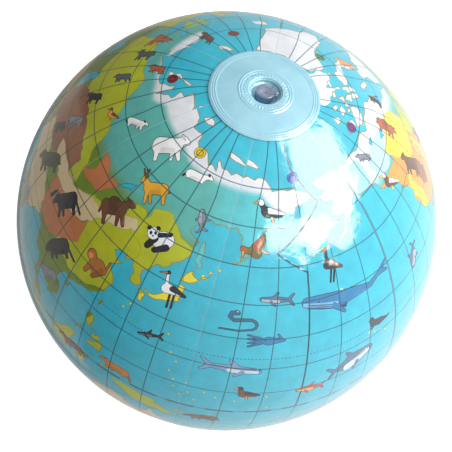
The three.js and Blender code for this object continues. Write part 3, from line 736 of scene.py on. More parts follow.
class Sheet:
    """Collects printed outlines in print space, lowest first, to cut a gore's mesh along all of them."""

    def __init__(self, middle):
        self.middle = middle
        self.points = []
        self.faces = []
        self.inks = []
        self.kinds = []

    def face(self, points, ink, kind="mark"):
        across = [x for x, _ in points]
        near = any(abs(x) < GORE_REACH for x in across)
        if not near and (min(across) > 0 or max(across) < 0):
            return
        start = len(self.points)
        self.points += oriented(points)
        self.faces.append(list(range(start, start + len(points))))
        self.inks.append(ink)
        self.kinds.append(kind)

    def copies(self, *longitudes):
        """Turns of the globe that bring a stretch of longitudes near this gore."""
        low, high = min(longitudes) - self.middle, max(longitudes) - self.middle
        return [turn for turn in (-360, 0, 360) if low + turn < COPY_REACH and high + turn > -COPY_REACH]

    def region(self, outline, ink, kind):
        path = wandering(outline)
        for turn in self.copies(*(longitude for longitude, _ in outline)):
            self.face([to_print(lon + turn, lat, self.middle) for lon, lat in path], ink, kind)

    def line(self, path, width, ink, closed=True, kind="mark"):
        """A thin printed line, as one short strip for each stretch of the path; its width is in metres."""
        for a, b in neighbours(path, closed):
            for turn in self.copies(a[0], b[0]):
                start = Vector(to_print(a[0] + turn, a[1], self.middle))
                end = Vector(to_print(b[0] + turn, b[1], self.middle))
                if abs(start.x) > GORE_REACH or (end - start).length < TINY:
                    continue
                along = (end - start).normalized() * (width / DEGREE) / 2
                across = Vector((-along.y, along.x))
                corners = (start - along - across, end + along - across,
                           end + along + across, start - along + across)
                self.face([tuple(c) for c in corners], ink, kind)

    def stamp(self, shapes, longitude, latitude, size, turn=0, edge=0.0, edge_ink=DARK):
        """Flat shapes drawn in fractions of a size, in millimetres, about a place on the map."""
        unit = size * MM / DEGREE
        cos, sin = cos_of(turn), sin_of(turn)
        for copy in self.copies(longitude):
            x, y = to_print(longitude + copy, latitude, self.middle)
            for grow in ([edge / size, 0] if edge else [0]):
                for shape in shapes:
                    outline = [(x + unit * (px * cos - py * sin), y + unit * (px * sin + py * cos))
                               for px, py in shape.outline(grow)]
                    self.face(outline, edge_ink if grow else shape.ink)


def half_width(polar):
    """From a gore's middle line to its edge, in degrees of arc."""
    return 180 / GORE_COUNT * sin_of(polar) - SEAM_SETBACK / DEGREE


def gore_outline():
    count = round(GORE_SPAN / MESH_STEP)
    rows = [GORE_END + GORE_SPAN * k / count for k in range(count + 1)]
    return [(-half_width(p), -p) for p in rows] + [(half_width(p), -p) for p in reversed(rows)]


def antarctic_coast():
    return [(lon, -69 - 3.5 * sin_of(3 * lon + 40) - 2 * sin_of(7 * lon)) for lon in range(0, 361, 3)]


def badge(ink):
    """Discs of a dark and a bright ink in turn, which leave a dark edge and a dark ring."""
    return [spot(0, 0, radius, disc) for radius, disc in zip(BADGE_RINGS, (shade(ink, 0.25), ink) * 2)]


def print_map(sheet):
    sheet.face(gore_outline(), OCEAN, "sea")
    for name, outline in LANDS.items():
        sheet.region(outline, LAND_INKS.get(name, OLIVE), "land")
    for outline in [ARCTIC_BLOCK] + ARCTIC_ISLANDS:
        sheet.region(outline, TUNDRA, "land")
    antarctica = antarctic_coast()
    sheet.region([(360, -84.5), (0, -84.5)] + antarctica, ICE, "land")
    for outline, ink in LAND_BIOMES:
        sheet.region(outline, ink, "biome")
        sheet.line(wandering(outline), BIOME_EDGE, shade(ink, 0.62), kind="biome")
    for outline in LAKES:
        sheet.region(outline, OCEAN, "mark")
    for outline in list(LANDS.values()) + ARCTIC_ISLANDS:
        sheet.line(wandering(outline), COAST_WIDTH, COAST)
    for outline in LAKES:
        sheet.line(wandering(outline), COAST_WIDTH, shade(OCEAN, 0.5))
    sheet.line(wandering(antarctica, closed=False), COAST_WIDTH, COAST, closed=False)
    sheet.line(dense(DATE_LINE, DATE_LINE_STEP, closed=False), DATE_LINE_WIDTH, LINE, closed=False)
    for place in ISLETS:
        sheet.stamp([spot(0, 0, 1, YELLOW)], *place, ISLET_RADIUS, edge=ISLET_EDGE, edge_ink=COAST)
    for (size, shapes), longitude, latitude, turn in ANIMALS:
        sheet.stamp(shapes, longitude, latitude, size, turn, ANIMAL_EDGE)
    for longitude, ink in BADGES:
        sheet.stamp(badge(ink), longitude, BADGE_LATITUDE, BADGE_RADIUS)


# ---- the film's unevenness ----
SEAM_PUCKER = 0.08 * MM
PATCH_PUCKER = 0.2 * MM
SLACK = 0.2 * MM  # broad, shallow waves all over
CRINKLE = 0.035 * MM  # small waves all over
# creased stretches: east longitude, north latitude, reach in degrees, height
CREASES = [(195, 58, 20, 0.15 * MM), (186, 45, 9, 0.34 * MM), (197, 38, 7, 0.25 * MM)]
SEAM_ROLL = 0.08 * MM  # how far the film turns in at a seam
NEAR_SEAM = 8 * MM
NEAR_PATCH = 14 * MM
LONG_WAVE, MIDDLE_WAVE, SHORT_WAVE = 34, 15, 7  # mm
CREASE_RISE = 12  # mm, a crease's waves up the ball; across it they are short ones
SEAM_WAVE = 3.4  # mm, a seam's puckers along it
PUCKER_REACH = 40  # mm, how far a seam's puckers run from it
PATCH_FOLDS = 11  # waves in a radian round the patch
PATCH_FOLD_LENGTH = 25  # mm
FAINT = 0.02  # a share too small to count


def film_height(place, from_seam, from_patch, polar):
    """How far the film stands above the true ball, where it is gathered along seams and patches."""
    size = place / MM
    broad = noise.noise(size / LONG_WAVE) * 0.7 + noise.noise(size / MIDDLE_WAVE + Vector((9, 0, 0))) * 0.3
    height = SLACK * broad + CRINKLE * noise.noise(size / SHORT_WAVE + Vector((0, 5, 0)))
    creased = 0
    for longitude, latitude, reach, tall in CREASES:
        away = math.degrees(place.angle(unit_at(longitude - MERIDIAN_AT_X, polar_of(latitude))))
        creased += tall * math.exp(-(away / reach) ** 4)
    height += creased * noise.noise(Vector((size.x / SHORT_WAVE, size.y / SHORT_WAVE, size.z / CREASE_RISE)))
    seam = math.exp(-from_seam / NEAR_SEAM)
    if seam > FAINT:
        along = polar * DEGREE / MM / SEAM_WAVE
        folds = noise.noise(Vector((along, size.x / PUCKER_REACH, size.y / PUCKER_REACH)))
        height += SEAM_PUCKER * seam * folds
    gather = math.exp(-from_patch / NEAR_PATCH)
    if gather > FAINT:
        around = math.atan2(place.y, place.x)
        folds = noise.noise(Vector((PATCH_FOLDS * math.cos(around), PATCH_FOLDS * math.sin(around),
                                    from_patch / MM / PATCH_FOLD_LENGTH)))
        height += PATCH_PUCKER * gather * folds
    return height - SEAM_ROLL * max(0, 1 - from_seam / MM) ** 2


def lift(x, y, middle):
    """A point of print space, on the gore's puffed film."""
    polar = -y
    outward = unit_at(middle - MERIDIAN_AT_X + x / sin_of(polar), polar)
    from_seam = max(0, (half_width(polar) - abs(x)) * DEGREE)
    from_patch = max(0, (min(polar, 180 - polar) - PATCH_ANGLE) * DEGREE)
    height = film_height(outward * RADIUS, from_seam, from_patch, polar)
    return CENTRE + outward * (RADIUS + height)


def map_place(x, y, middle):
    """East longitude and north latitude of a point of print space."""
    polar = -y
    return middle + x / sin_of(polar) / squeeze_at(polar), (EQUATOR_POLAR - polar) / LATITUDE_SCALE


def filler_points():
    """A regular triangular grid inside a gore, clear of its edges."""
    points = []
    rows = int(GORE_SPAN / (MESH_STEP * MESH_ROW))
    for row in range(1, rows):
        polar = GORE_END + GORE_SPAN * row / rows
        reach = half_width(polar) - MESH_STEP * 0.35
        shift = MESH_STEP / 2 * (row % 2)
        columns = int(reach / MESH_STEP)
        points += [(column * MESH_STEP + shift, -polar) for column in range(-columns - 1, columns + 1)
                   if abs(column * MESH_STEP + shift) < reach]
    return points


def cut(sheet):
    """Triangles of the gore along every printed outline, each with the inks of its three corners."""
    places = [Vector(p) for p in sheet.points + filler_points()]
    points, _, triangles, _, _, sources = delaunay_2d_cdt(places, [], sheet.faces, 1, 1e-5, True)
    kept, inks = [], []
    for triangle, faces in zip(triangles, sources):
        if not faces or min(faces) != 0:
            continue
        ink, on_land = OCEAN, False
        for face in sorted(faces):
            kind = sheet.kinds[face]
            on_land = on_land or kind == "land"
            if kind != "biome" or on_land:
                ink = sheet.inks[face]
        kept.append(triangle)
        inks.append([ink(*map_place(*points[k], sheet.middle)) if callable(ink) else ink for k in triangle])
    return points, kept, inks


def add_hem(mesh, on_edge):
    """Turns the film inward along both seams of a gore."""
    shape = bmesh.new()
    shape.from_mesh(mesh)
    shape.verts.ensure_lookup_table()
    edges = [e for e in shape.edges if e.is_boundary and all(v.index in on_edge for v in e.verts)]
    for edge in edges:
        edge.smooth = False
    made = bmesh.ops.extrude_edge_only(shape, edges=edges)
    for vertex in (v for v in made["geom"] if isinstance(v, bmesh.types.BMVert)):
        outward = (vertex.co - CENTRE).normalized()
        vertex.co -= outward * HEM
    shape.to_mesh(mesh)
    shape.free()


def gore_skin(number, middle):
    """One printed gore with its welded hems turned inward."""
    sheet = Sheet(middle)
    print_map(sheet)
    points, triangles, inks = cut(sheet)
    used = sorted({k for triangle in triangles for k in triangle})
    order = {k: i for i, k in enumerate(used)}
    mesh = bpy.data.meshes.new(f"gore_print_{number}")
    mesh.from_pydata([lift(*points[k], middle) for k in used], [], [[order[k] for k in t] for t in triangles])
    colour = mesh.color_attributes.new("ink", "FLOAT_COLOR", "CORNER")
    colour.data.foreach_set("color", [c for corners in inks for ink in corners for c in (*ink, 1)])
    add_hem(mesh, {order[k] for k in used if abs(abs(points[k].x) - half_width(-points[k].y)) < 0.01})
    skin = object_from(mesh)
    solid = skin.modifiers.new("film", "SOLIDIFY")
    solid.thickness = FILM
    solid.offset = -1
    return skin


# ---- shader arithmetic ----

class Field:
    """A number that varies over a surface: a shader node's output that takes part in plain arithmetic."""

    def __init__(self, tree, socket):
        self.tree, self.socket = tree, socket

    def math(self, operation, *others):
        node = self.tree.nodes.new("ShaderNodeMath")
        node.operation = operation
        for slot, value in zip(node.inputs, (self, *others)):
            if isinstance(value, Field):
                self.tree.links.new(value.socket, slot)
            else:
                slot.default_value = value
        return Field(self.tree, node.outputs[0])

    def __add__(self, other):
        return self.math("ADD", other)

    def __sub__(self, other):
        return self.math("SUBTRACT", other)

    def __mul__(self, other):
        return self.math("MULTIPLY", other)

    def __truediv__(self, other):
        return self.math("DIVIDE", other)

    def __abs__(self):
        return self.math("ABSOLUTE")

    def least(self, other):
        return self.math("MINIMUM", other)

    def most(self, other):
        return self.math("MAXIMUM", other)

    def under(self, limit):
        return self.math("LESS_THAN", limit)

    def wrapped(self, period):
        """The distance, with its sign, to the nearest whole number of periods."""
        return (self + period / 2).math("FLOORED_MODULO", period) - period / 2

    def within(self):
        """Kept within 0 to 1."""
        return self.most(0).least(1)


def new_material(name):
    material = bpy.data.materials.new(name)
    material.use_nodes = True
    tree = material.node_tree
    return material, tree, tree.nodes["Principled BSDF"]


def noise_field(tree, scale, detail=2.0, roughness=0.5):
    node = tree.nodes.new("ShaderNodeTexNoise")
    node.inputs["Scale"].default_value = scale
    node.inputs["Detail"].default_value = detail
    node.inputs["Roughness"].default_value = roughness
    place = tree.nodes.new("ShaderNodeTexCoord")
    tree.links.new(place.outputs["Object"], node.inputs["Vector"])
    return Field(tree, node.outputs["Fac"])


def axes(tree):
    """X, Y and Z of a point, from the ball's centre."""
    place = tree.nodes.new("ShaderNodeTexCoord")
    split = tree.nodes.new("ShaderNodeSeparateXYZ")
    tree.links.new(place.outputs["Object"], split.inputs[0])
    x, y, z = (Field(tree, output) for output in split.outputs)
    return x, y, z - CENTRE.z


def blended(tree, share, first, second):
    """A colour between two others; each is a plain colour or a node's output."""
    node = tree.nodes.new("ShaderNodeMix")
    node.data_type = "RGBA"
    tree.links.new(share.socket, node.inputs[0])
    for slot, value in ((node.inputs[6], first), (node.inputs[7], second)):
        if isinstance(value, tuple):
            slot.default_value = (*value, 1)
        else:
            tree.links.new(value, slot)
    return node.outputs[2]


def bump(tree, shader, height, distance):
    node = tree.nodes.new("ShaderNodeBump")
    node.inputs["Strength"].default_value = 1
    node.inputs["Distance"].default_value = distance
    tree.links.new(height.socket, node.inputs["Height"])
    tree.links.new(node.outputs[0], shader.inputs["Normal"])


# ---- the printed film's look ----
LINE_WIDTH = 0.5 * MM
LINE_BLUR = 0.2 * MM
LINE_DEPTH = 0.82  # how far the lines cover the inks under them
MERIDIAN_STOP = 26  # no printed meridian is further than this from a gore's middle, in degrees
PARALLEL_STOP = 75  # latitude
EQUATOR_WIDTH = 4 * LINE_WIDTH
EQUATOR_DASH = 3.6  # half a dash, degrees
TROPIC = 23.4  # latitude
TROPIC_DOT = 0.25  # half a dot, degrees
LINED_SEAMS = (-30, 90)  # azimuths of the seams with a printed line beside them
SEAM_LINE_SETBACK = 0.4 * MM
# a pale band along every seam: partly the welded edge's own colour, partly a painted highlight where the seam
# catches the light
WELD_AND_HIGHLIGHT_WIDTH = 0.5 * MM
WELD_AND_HIGHLIGHT_BLUR = 0.3 * MM
WELD_AND_HIGHLIGHT_DEPTH = 0.25
WELD_AND_HIGHLIGHT_TINT = rgb(200, 232, 240)
PRINT_BUMP = 0.32 * MM


def drawn(distance, width=LINE_WIDTH):
    """1 on a line and 0 away from it, by the distance to the line's middle."""
    return ((distance * -1 + (width / 2 + LINE_BLUR)) / LINE_BLUR).within()


def graticule(tree):
    """Meridians and parallels every ten degrees, the equator in dashes and the tropics in dots.

    Returns the lines' share of the colour and the distance from the nearest seam.
    """
    x, y, z = axes(tree)
    radius = (x * x + y * y + z * z).math("SQRT")
    polar = (z / radius).math("ARCCOSINE").math("DEGREES")
    sine = polar.math("RADIANS").math("SINE")
    azimuth = y.math("ARCTAN2", x).math("DEGREES")
    from_middle = azimuth.wrapped(360 / GORE_COUNT)
    near = polar.least(polar * -1 + 180)
    narrowing = ((near * -1 + SQUEEZE_FROM) / (SQUEEZE_FROM - PATCH_ANGLE)).within() * (1 - TIP_SQUEEZE)
    squeeze = narrowing * -1 + 1
    printed = from_middle / squeeze
    meridian = abs(printed.wrapped(GRID_STEP)) * sine * squeeze * DEGREE
    meridians = drawn(meridian) * abs(printed).under(MERIDIAN_STOP)
    latitude = (polar * -1 + EQUATOR_POLAR) / LATITUDE_SCALE
    parallel = abs(latitude.wrapped(GRID_STEP)) * (LATITUDE_SCALE * DEGREE)
    parallels = drawn(parallel) * abs(latitude).under(PARALLEL_STOP)
    dash = abs(azimuth.wrapped(GRID_STEP)).under(EQUATOR_DASH)
    equator = drawn(abs(latitude) * DEGREE, EQUATOR_WIDTH) * dash
    tropic = abs(abs(latitude) - TROPIC) * DEGREE
    tropics = drawn(tropic) * abs(azimuth.wrapped(1)).under(TROPIC_DOT)
    from_seam = (abs(from_middle) * -1 + 180 / GORE_COUNT) * sine * DEGREE
    first, second = (abs(azimuth - seam).under(90 / GORE_COUNT) for seam in LINED_SEAMS)
    seam_line = drawn(from_seam - SEAM_LINE_SETBACK) * (first + second) * narrowing.under(0.01)
    return meridians.most(parallels).most(equator).most(tropics).most(seam_line), from_seam


def printed_vinyl():
    """Glossy film in the mesh's own inks, slightly mottled, under the graticule and a pale band along the
    seams that is partly the welded edge's own colour and partly painted highlight.
    """
    material, tree, shader = new_material("printed_vinyl")
    attribute = tree.nodes.new("ShaderNodeAttribute")
    attribute.attribute_name = "ink"
    lines, from_seam = graticule(tree)
    mottle = tree.nodes.new("ShaderNodeVectorMath")
    mottle.operation = "SCALE"
    brightness = noise_field(tree, 90, 4, 0.6) * 0.5 + 0.81
    tree.links.new(attribute.outputs["Color"], mottle.inputs[0])
    tree.links.new(brightness.socket, mottle.inputs["Scale"])
    lined = blended(tree, lines * LINE_DEPTH, mottle.outputs[0], LINE)
    # painted highlight, in part: the pale band along the seams
    weld_and_highlight = ((from_seam * -1 + WELD_AND_HIGHLIGHT_WIDTH) / WELD_AND_HIGHLIGHT_BLUR).within()
    tree.links.new(blended(tree, weld_and_highlight * WELD_AND_HIGHLIGHT_DEPTH, lined, WELD_AND_HIGHLIGHT_TINT), shader.inputs["Base Color"])
    gloss = noise_field(tree, 140, 3) * 0.06 + 0.05
    tree.links.new(gloss.socket, shader.inputs["Roughness"])
    bump(tree, shader, noise_field(tree, 420, 3) * 0.15 + noise_field(tree, 85, 5, 0.62), PRINT_BUMP)
    return material


def plain_vinyl(name, colour, shadow, roughness, cloud_scale=60):
    """Soft, slightly cloudy vinyl."""
    material, tree, shader = new_material(name)
    cloud = (noise_field(tree, cloud_scale, 4) * 2.4 - 0.7).within()
    tree.links.new(blended(tree, cloud, colour, shadow), shader.inputs["Base Color"])
    gloss = noise_field(tree, 180, 3) * 0.12 + roughness - 0.06
    tree.links.new(gloss.socket, shader.inputs["Roughness"])
    bump(tree, shader, noise_field(tree, 260, 3), 0.08 * MM)
    shader.inputs["Coat Weight"].default_value = 0.3
    shader.inputs["Coat Roughness"].default_value = 0.08
    return material


# ---- turned and swept pieces ----

def object_from(mesh):
    piece = bpy.data.objects.new(mesh.name, mesh)
    bpy.context.collection.objects.link(piece)
    mesh.shade_smooth()
    return piece


def closed_object(name, shape):
    """A piece from a finished bmesh, with its faces turned outward."""
    bmesh.ops.recalc_face_normals(shape, faces=shape.faces)
    mesh = bpy.data.meshes.new(name)
    shape.to_mesh(mesh)
    shape.free()
    return object_from(mesh)


def turned(name, outline, sides=96, height=None):
    """A closed solid turned about the poles' axis from [radius, height above the centre] points.

    height, if given, lifts a point by its radius, its angle and its place in the outline.
    """
    shape = bmesh.new()
    rings = []
    for index, (radius, above) in enumerate(outline):
        ring = []
        for side in range(sides if radius > 1e-6 else 1):
            angle = 2 * math.pi * side / sides
            rise = height(radius, angle, index) if height else 0
            ring.append(shape.verts.new(
                CENTRE + Vector((radius * math.cos(angle), radius * math.sin(angle), above + rise))))
        rings.append(ring)
    for ring, after in neighbours(rings):
        for side in range(sides):
            following = (side + 1) % sides
            corners = [ring[side % len(ring)], ring[following % len(ring)],
                       after[following % len(after)], after[side % len(after)]]
            unique = list(dict.fromkeys(corners))
            if len(unique) > 2:
                shape.faces.new(unique)
    return closed_object(name, shape)


def arc(centre_x, centre_y, radius, start, end, steps):
    """Points of a round corner; the angles are in degrees."""
    return [(centre_x + radius * cos_of(angle), centre_y + radius * sin_of(angle))
            for angle in between(start, end, steps)]


# ---- the valve's sizes, from the frame and the photo ----
def node_radius(node):
    low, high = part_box(node)
    return (high.y - low.y) / 2


def level(node, top=True):
    """A node's top or bottom, above the ball's centre."""
    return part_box(node)[1 if top else 0].z - CENTRE.z


FIT = 0.05 * MM  # between soft parts that meet
FLANGE_RADIUS = node_radius("valve_flange")
FLANGE_THICK = 0.8 * MM
RIM_TOP = level("valve_flange")
RIM_WALL = 0.8 * MM
RIM_OUTER = 11.5 * MM
RIM_EDGE = 0.1 * MM  # radius of the rim's outer edge
RIM_LIP = 0.65 * MM  # radius of the rim's edge on the well's side
RIM_FILLET = 0.3 * MM
FLANGE_FLAT = 16 * MM  # the flange is drawn in steps from this radius inward
WELL_RADIUS = RIM_OUTER - RIM_WALL
WALL_THICK = 0.6 * MM
WALL_NECK = 5.9 * MM  # the soft wall's radius at the stem
WALL_TOP = 1.6 * MM  # the plain stretch of the soft wall below the rim
WALL_FOOT = 1.2 * MM  # and above the stem's foot
PATCH_HOLE = RIM_OUTER + FIT
PATCH_FILM = 0.5 * MM
PATCH_TOP = RADIUS + 0.8 * MM
PATCH_STEPS = 70
RING_HEIGHT = 0.4 * MM
EDGE_RINGS = (0.88, 0.92, 0.96)  # against the patch's own reach
EDGE_RING_WIDTH = 0.011
VALVE_RINGS = (FLANGE_RADIUS - 1.6 * MM, FLANGE_RADIUS)
VALVE_RING_WIDTH = 0.45 * MM
RIB_COUNT = 40
RIB_HEIGHT = 0.42 * MM
RIBS_FROM, RIBS_TO = 12.3 * MM, 15 * MM
RIB_WEAR = 4  # waves in a radian of the ribs' uneven height
EDGE_FOLD = 0.22 * MM
EDGE_FOLD_FROM = 0.6  # where the patch's edge starts to fold, against its reach
EDGE_FOLDS = 7  # waves in a radian round the patch
EDGE_FOLD_LENGTH = 12  # mm


def ridges(distance, middles, width):
    """Rounded ridges across a distance, 1 high."""
    return sum(math.exp(-((distance - middle) / width) ** 2) for middle in middles)


def patch_relief(radius, angle, valve):
    """Weld rings near a patch's edge and, round the valve, a double ring and radial ribs."""
    share = radius / PATCH_REACH
    cos, sin = math.cos(angle), math.sin(angle)
    rise = ridges(share, EDGE_RINGS, EDGE_RING_WIDTH) * RING_HEIGHT
    if valve:
        rise += ridges(radius, VALVE_RINGS, VALVE_RING_WIDTH) * RING_HEIGHT
        zone = past(radius, RIBS_FROM, MM) * clamp((RIBS_TO - radius) / MM)
        worn = 0.75 + noise.noise(Vector((RIB_WEAR * cos, RIB_WEAR * sin, 3)))
        rise += RIB_HEIGHT * zone * worn * max(0, math.sin(RIB_COUNT * angle))
    folds = noise.noise(Vector((EDGE_FOLDS * cos, EDGE_FOLDS * sin, radius / MM / EDGE_FOLD_LENGTH)))
    return rise + EDGE_FOLD * folds * past(share, EDGE_FOLD_FROM, 1 - EDGE_FOLD_FROM)


def pole_patch(name, sides, valve, flip):
    """A round patch over a pole: the north one has the valve's hole, the south one rests on the ground."""
    start = math.asin((PATCH_HOLE if valve else 0) / PATCH_TOP)
    angles = between(start, math.asin(PATCH_REACH / PATCH_TOP), PATCH_STEPS)
    top = [(PATCH_TOP, a) for a in angles]
    under = [(PATCH_TOP - PATCH_FILM, a) for a in reversed(angles)]
    outline = [(sphere * math.sin(a), flip * sphere * math.cos(a)) for sphere, a in top + under]
    ground = level("south_patch", False)

    def height(radius, angle, index):
        rise = patch_relief(radius, angle, valve) if 0 < index < len(outline) - 1 else 0
        if flip > 0:
            return rise
        lowest = ground + (0 if index < len(top) else PATCH_FILM)
        return max(0, lowest - outline[index][1] + rise) - rise

    return turned(name, outline, sides, height)


def on_sphere(radius, sphere):
    """Height of a sphere's surface above its centre, at a distance from the axis."""
    return math.sqrt(sphere ** 2 - radius ** 2)


def valve_rim():
    """The flange under the patch, with the low rim round the well."""
    under = RADIUS - FLANGE_THICK
    outline = [(FLANGE_RADIUS, on_sphere(FLANGE_RADIUS, sphere)) for sphere in (under, RADIUS)]
    outline += [(r, on_sphere(r, RADIUS)) for r in between(FLANGE_FLAT, RIM_OUTER + RIM_FILLET, 4)]
    outline += [(RIM_OUTER, RADIUS + RIM_EDGE)]
    outline += arc(RIM_OUTER - RIM_EDGE, RIM_TOP - RIM_EDGE, RIM_EDGE, 0, 90, 3)
    outline += arc(WELL_RADIUS + RIM_LIP, RIM_TOP - RIM_LIP, RIM_LIP, 90, 180, 8)
    outline += [(WELL_RADIUS, on_sphere(WELL_RADIUS, under))]
    return turned("valve_rim", outline, 144)


def bellows():
    """The soft wall between the rim and the stem, with two shallow folds."""
    top, foot = level("valve_bellows"), level("valve_bellows", False)
    wide = WELL_RADIUS - FIT
    inner_neck = WALL_NECK - WALL_THICK

    def profile(share):
        fold = 0.35 * MM * math.sin(share * math.pi * 4) * math.sin(share * math.pi)
        shoulder = top - WALL_TOP
        return (wide + (WALL_NECK - wide) * share ** 1.3 + fold,
                shoulder + (foot + WALL_FOOT - shoulder) * share)

    outer = [profile(share) for share in between(0, 1, 20)]
    inner = [(r - WALL_THICK, h + WALL_THICK * 0.6) for r, h in reversed(outer)]
    outline = [(wide, top)] + outer + [(WALL_NECK, foot), (inner_neck, foot)] + inner
    return turned("soft_wall", outline + [(wide - WALL_THICK, top)])


def stem():
    """The tube, with a rounded mouth."""
    top, foot = level("valve_stem"), level("valve_stem", False)
    outer, bore = node_radius("valve_stem"), 4.1 * MM
    lip = 0.3 * MM
    outline = [(outer, foot + lip)] + arc(outer - lip, top - lip, lip, 0, 90, 3)
    outline += arc(bore + lip, top - lip, lip, 90, 180, 3) + [(bore, foot), (outer - lip, foot)]
    return turned("stem_tube", outline, 72)


def stopper():
    """A flat round head with a dished top, and a tapered nib that closes the stem."""
    top, foot = level("valve_plug"), level("valve_plug", False)
    head = node_radius("valve_plug") - 0.4 * MM
    under = top - 1.2 * MM
    soft = 0.4 * MM
    outline = [(0, top - 0.35 * MM), (head * 0.55, top - 0.32 * MM), (head * 0.68, top - 0.05 * MM)]
    outline += arc(head - soft, top - soft, soft, 90, 0, 4) + [(head, under), (3.8 * MM, under)]
    outline += [(3.6 * MM, under - 1 * MM), (2.9 * MM, foot + 0.3 * MM), (2.6 * MM, foot), (0, foot)]
    return turned("stopper", outline, 72)


def check_flap():
    """The thin disc under the stem's foot."""
    top, foot = level("check_flap"), level("check_flap", False)
    radius = 4.6 * MM
    soft = (top - foot) / 2
    outline = [(0, top)] + arc(radius - soft, (top + foot) / 2, soft, 90, -90, 6) + [(0, foot)]
    return turned("flap", outline, 48)


# ---- the stopper's strap ----
STRAP_TURN = 30  # azimuth that the strap points to
HINGE_REACH = 8.4 * MM  # from the axis to where the strap bends
STRAP_NECK = 1.7 * MM  # half its plain width
STRAP_TAB = 3.3 * MM  # radius of the round tab on its upper leg
STRAP_TAB_REACH = 6.9 * MM
STRAP_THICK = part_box("plug_strap")[1].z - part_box("plug_strap")[0].z
STRAP_OVER = (level("plug_strap") + level("plug_strap", False)) / 2  # height of its upper leg
STRAP_EAR = level("valve_stem") - 0.7 * MM  # height of its lower leg, on the stem's ear


def along_strap(reach, side, height):
    """A point in the strap's own directions: out from the axis, across, and above the centre."""
    cos, sin = cos_of(STRAP_TURN), sin_of(STRAP_TURN)
    return CENTRE + Vector((reach * cos - side * sin, reach * sin + side * cos, height))


def ribbon(name, path, half_width_at, thick):
    """A flat strip with rounded edges that follows [reach, height] points along the strap's direction."""
    shape = bmesh.new()
    section = [(side, 1) for side in between(-0.9, 0.9, 6)] + [(1, 0)]
    section += [(side, -1) for side in between(0.9, -0.9, 6)] + [(-1, 0)]
    rows = []
    for index, (reach, height) in enumerate(path):
        before, after = path[max(0, index - 1)], path[min(len(path) - 1, index + 1)]
        slope = Vector((after[0] - before[0], after[1] - before[1])).normalized()
        normal = Vector((-slope.y, slope.x)) * thick / 2
        half = half_width_at(reach)
        rows.append([shape.verts.new(along_strap(reach + normal.x * up, side * half, height + normal.y * up))
                     for side, up in section])
    for row, after in neighbours(rows, closed=False):
        for (a, b), (c, d) in zip(neighbours(row), neighbours(after)):
            shape.faces.new((a, b, d, c))
    shape.faces.new(rows[0])
    shape.faces.new(rows[-1])
    return closed_object(name, shape)


def plug_strap():
    """The strap from the stopper's edge that bends down to the stem's ear."""
    bend = (STRAP_OVER - STRAP_EAR) / 2
    start = HINGE_REACH - 1 * MM
    path = [(reach, STRAP_OVER) for reach in between(5.7 * MM, start, 10)]
    path += [(start + bend * math.sin(a), STRAP_OVER - bend + bend * math.cos(a))
             for a in between(0.3, math.pi, 8)]
    path += [(reach, STRAP_EAR) for reach in between(HINGE_REACH - 1.6 * MM, 4.6 * MM, 6)]

    def half_width_at(reach):
        return max(STRAP_NECK, math.sqrt(max(0, STRAP_TAB ** 2 - (reach - STRAP_TAB_REACH) ** 2)))

    return ribbon("strap", path, half_width_at, STRAP_THICK)


# ---- the whole ball ----

def finish(piece, body, material, slot, *nodes):
    """Gives a piece its material and its body, and hides the CAD nodes it stands for; slot is not used."""
    piece.data.materials.append(material)
    if body:
        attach(piece, body)
    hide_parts(*nodes)
    return piece


def build_ball():
    vinyl = printed_vinyl()
    for number in range(1, GORE_COUNT + 1):
        middle = (MERIDIAN_AT_X + (number - 1) * 360 // GORE_COUNT) % 360
        finish(gore_skin(number, middle), "ball", vinyl, "printed_vinyl", f"gore_{number}")
    patch = plain_vinyl("patch_vinyl", rgb(144, 200, 219), rgb(162, 213, 230), 0.13)
    finish(pole_patch("north_cap", 288, True, 1), "ball", patch, "patch_vinyl", "north_patch")
    finish(pole_patch("south_cap", 192, False, -1), "ball", patch, "patch_vinyl", "south_patch")


def build_valve():
    clear = plain_vinyl("valve_vinyl", rgb(160, 214, 230), rgb(178, 224, 236), 0.24)
    # dark blue-grey for the stem and the flap: partly their own colour, partly painted shade at the bottom of
    # the well
    dark = plain_vinyl("well_vinyl_and_shade", rgb(92, 126, 158), rgb(70, 98, 130), 0.12, 200)
    blue = plain_vinyl("strap_vinyl", rgb(84, 108, 132), rgb(124, 154, 176), 0.12, 320)
    grey = plain_vinyl("stopper_vinyl", rgb(84, 98, 124), rgb(146, 156, 178), 0.12, 240)
    finish(valve_rim(), "ball", clear, "valve_vinyl", "valve_flange")
    wall = finish(bellows(), None, clear, "valve_vinyl", "valve_bellows")
    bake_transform(wall)
    finish(stem(), "stem", dark, "valve_vinyl", "valve_stem")
    finish(stopper(), "plug", grey, "valve_vinyl", "valve_plug")
    strap = finish(plug_strap(), None, blue, "valve_vinyl", "plug_strap")
    tuple(along_strap(HINGE_REACH, 0, STRAP_EAR))
    tuple(along_strap(HINGE_REACH, 0, STRAP_OVER))
    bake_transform(strap)
    finish(check_flap(), "flap", dark, "valve_vinyl", "check_flap")


# ---- camera and studio ----
CAMERA_AZIMUTH, CAMERA_ELEVATION, CAMERA_ROLL = -2.03, 55.51, 16.8  # degrees; azimuth 0 looks along +Y
CAMERA_DISTANCE = 6.22 * RADIUS
CAMERA_LENS, SENSOR_WIDTH = 102.66, 36  # mm
CAMERA_SHIFT = (-0.0012, -0.0116)
FLOOR_RADIUS = 6
FLOOR_DROP = 0.2 * MM  # keeps the floor clear of the ball's flat


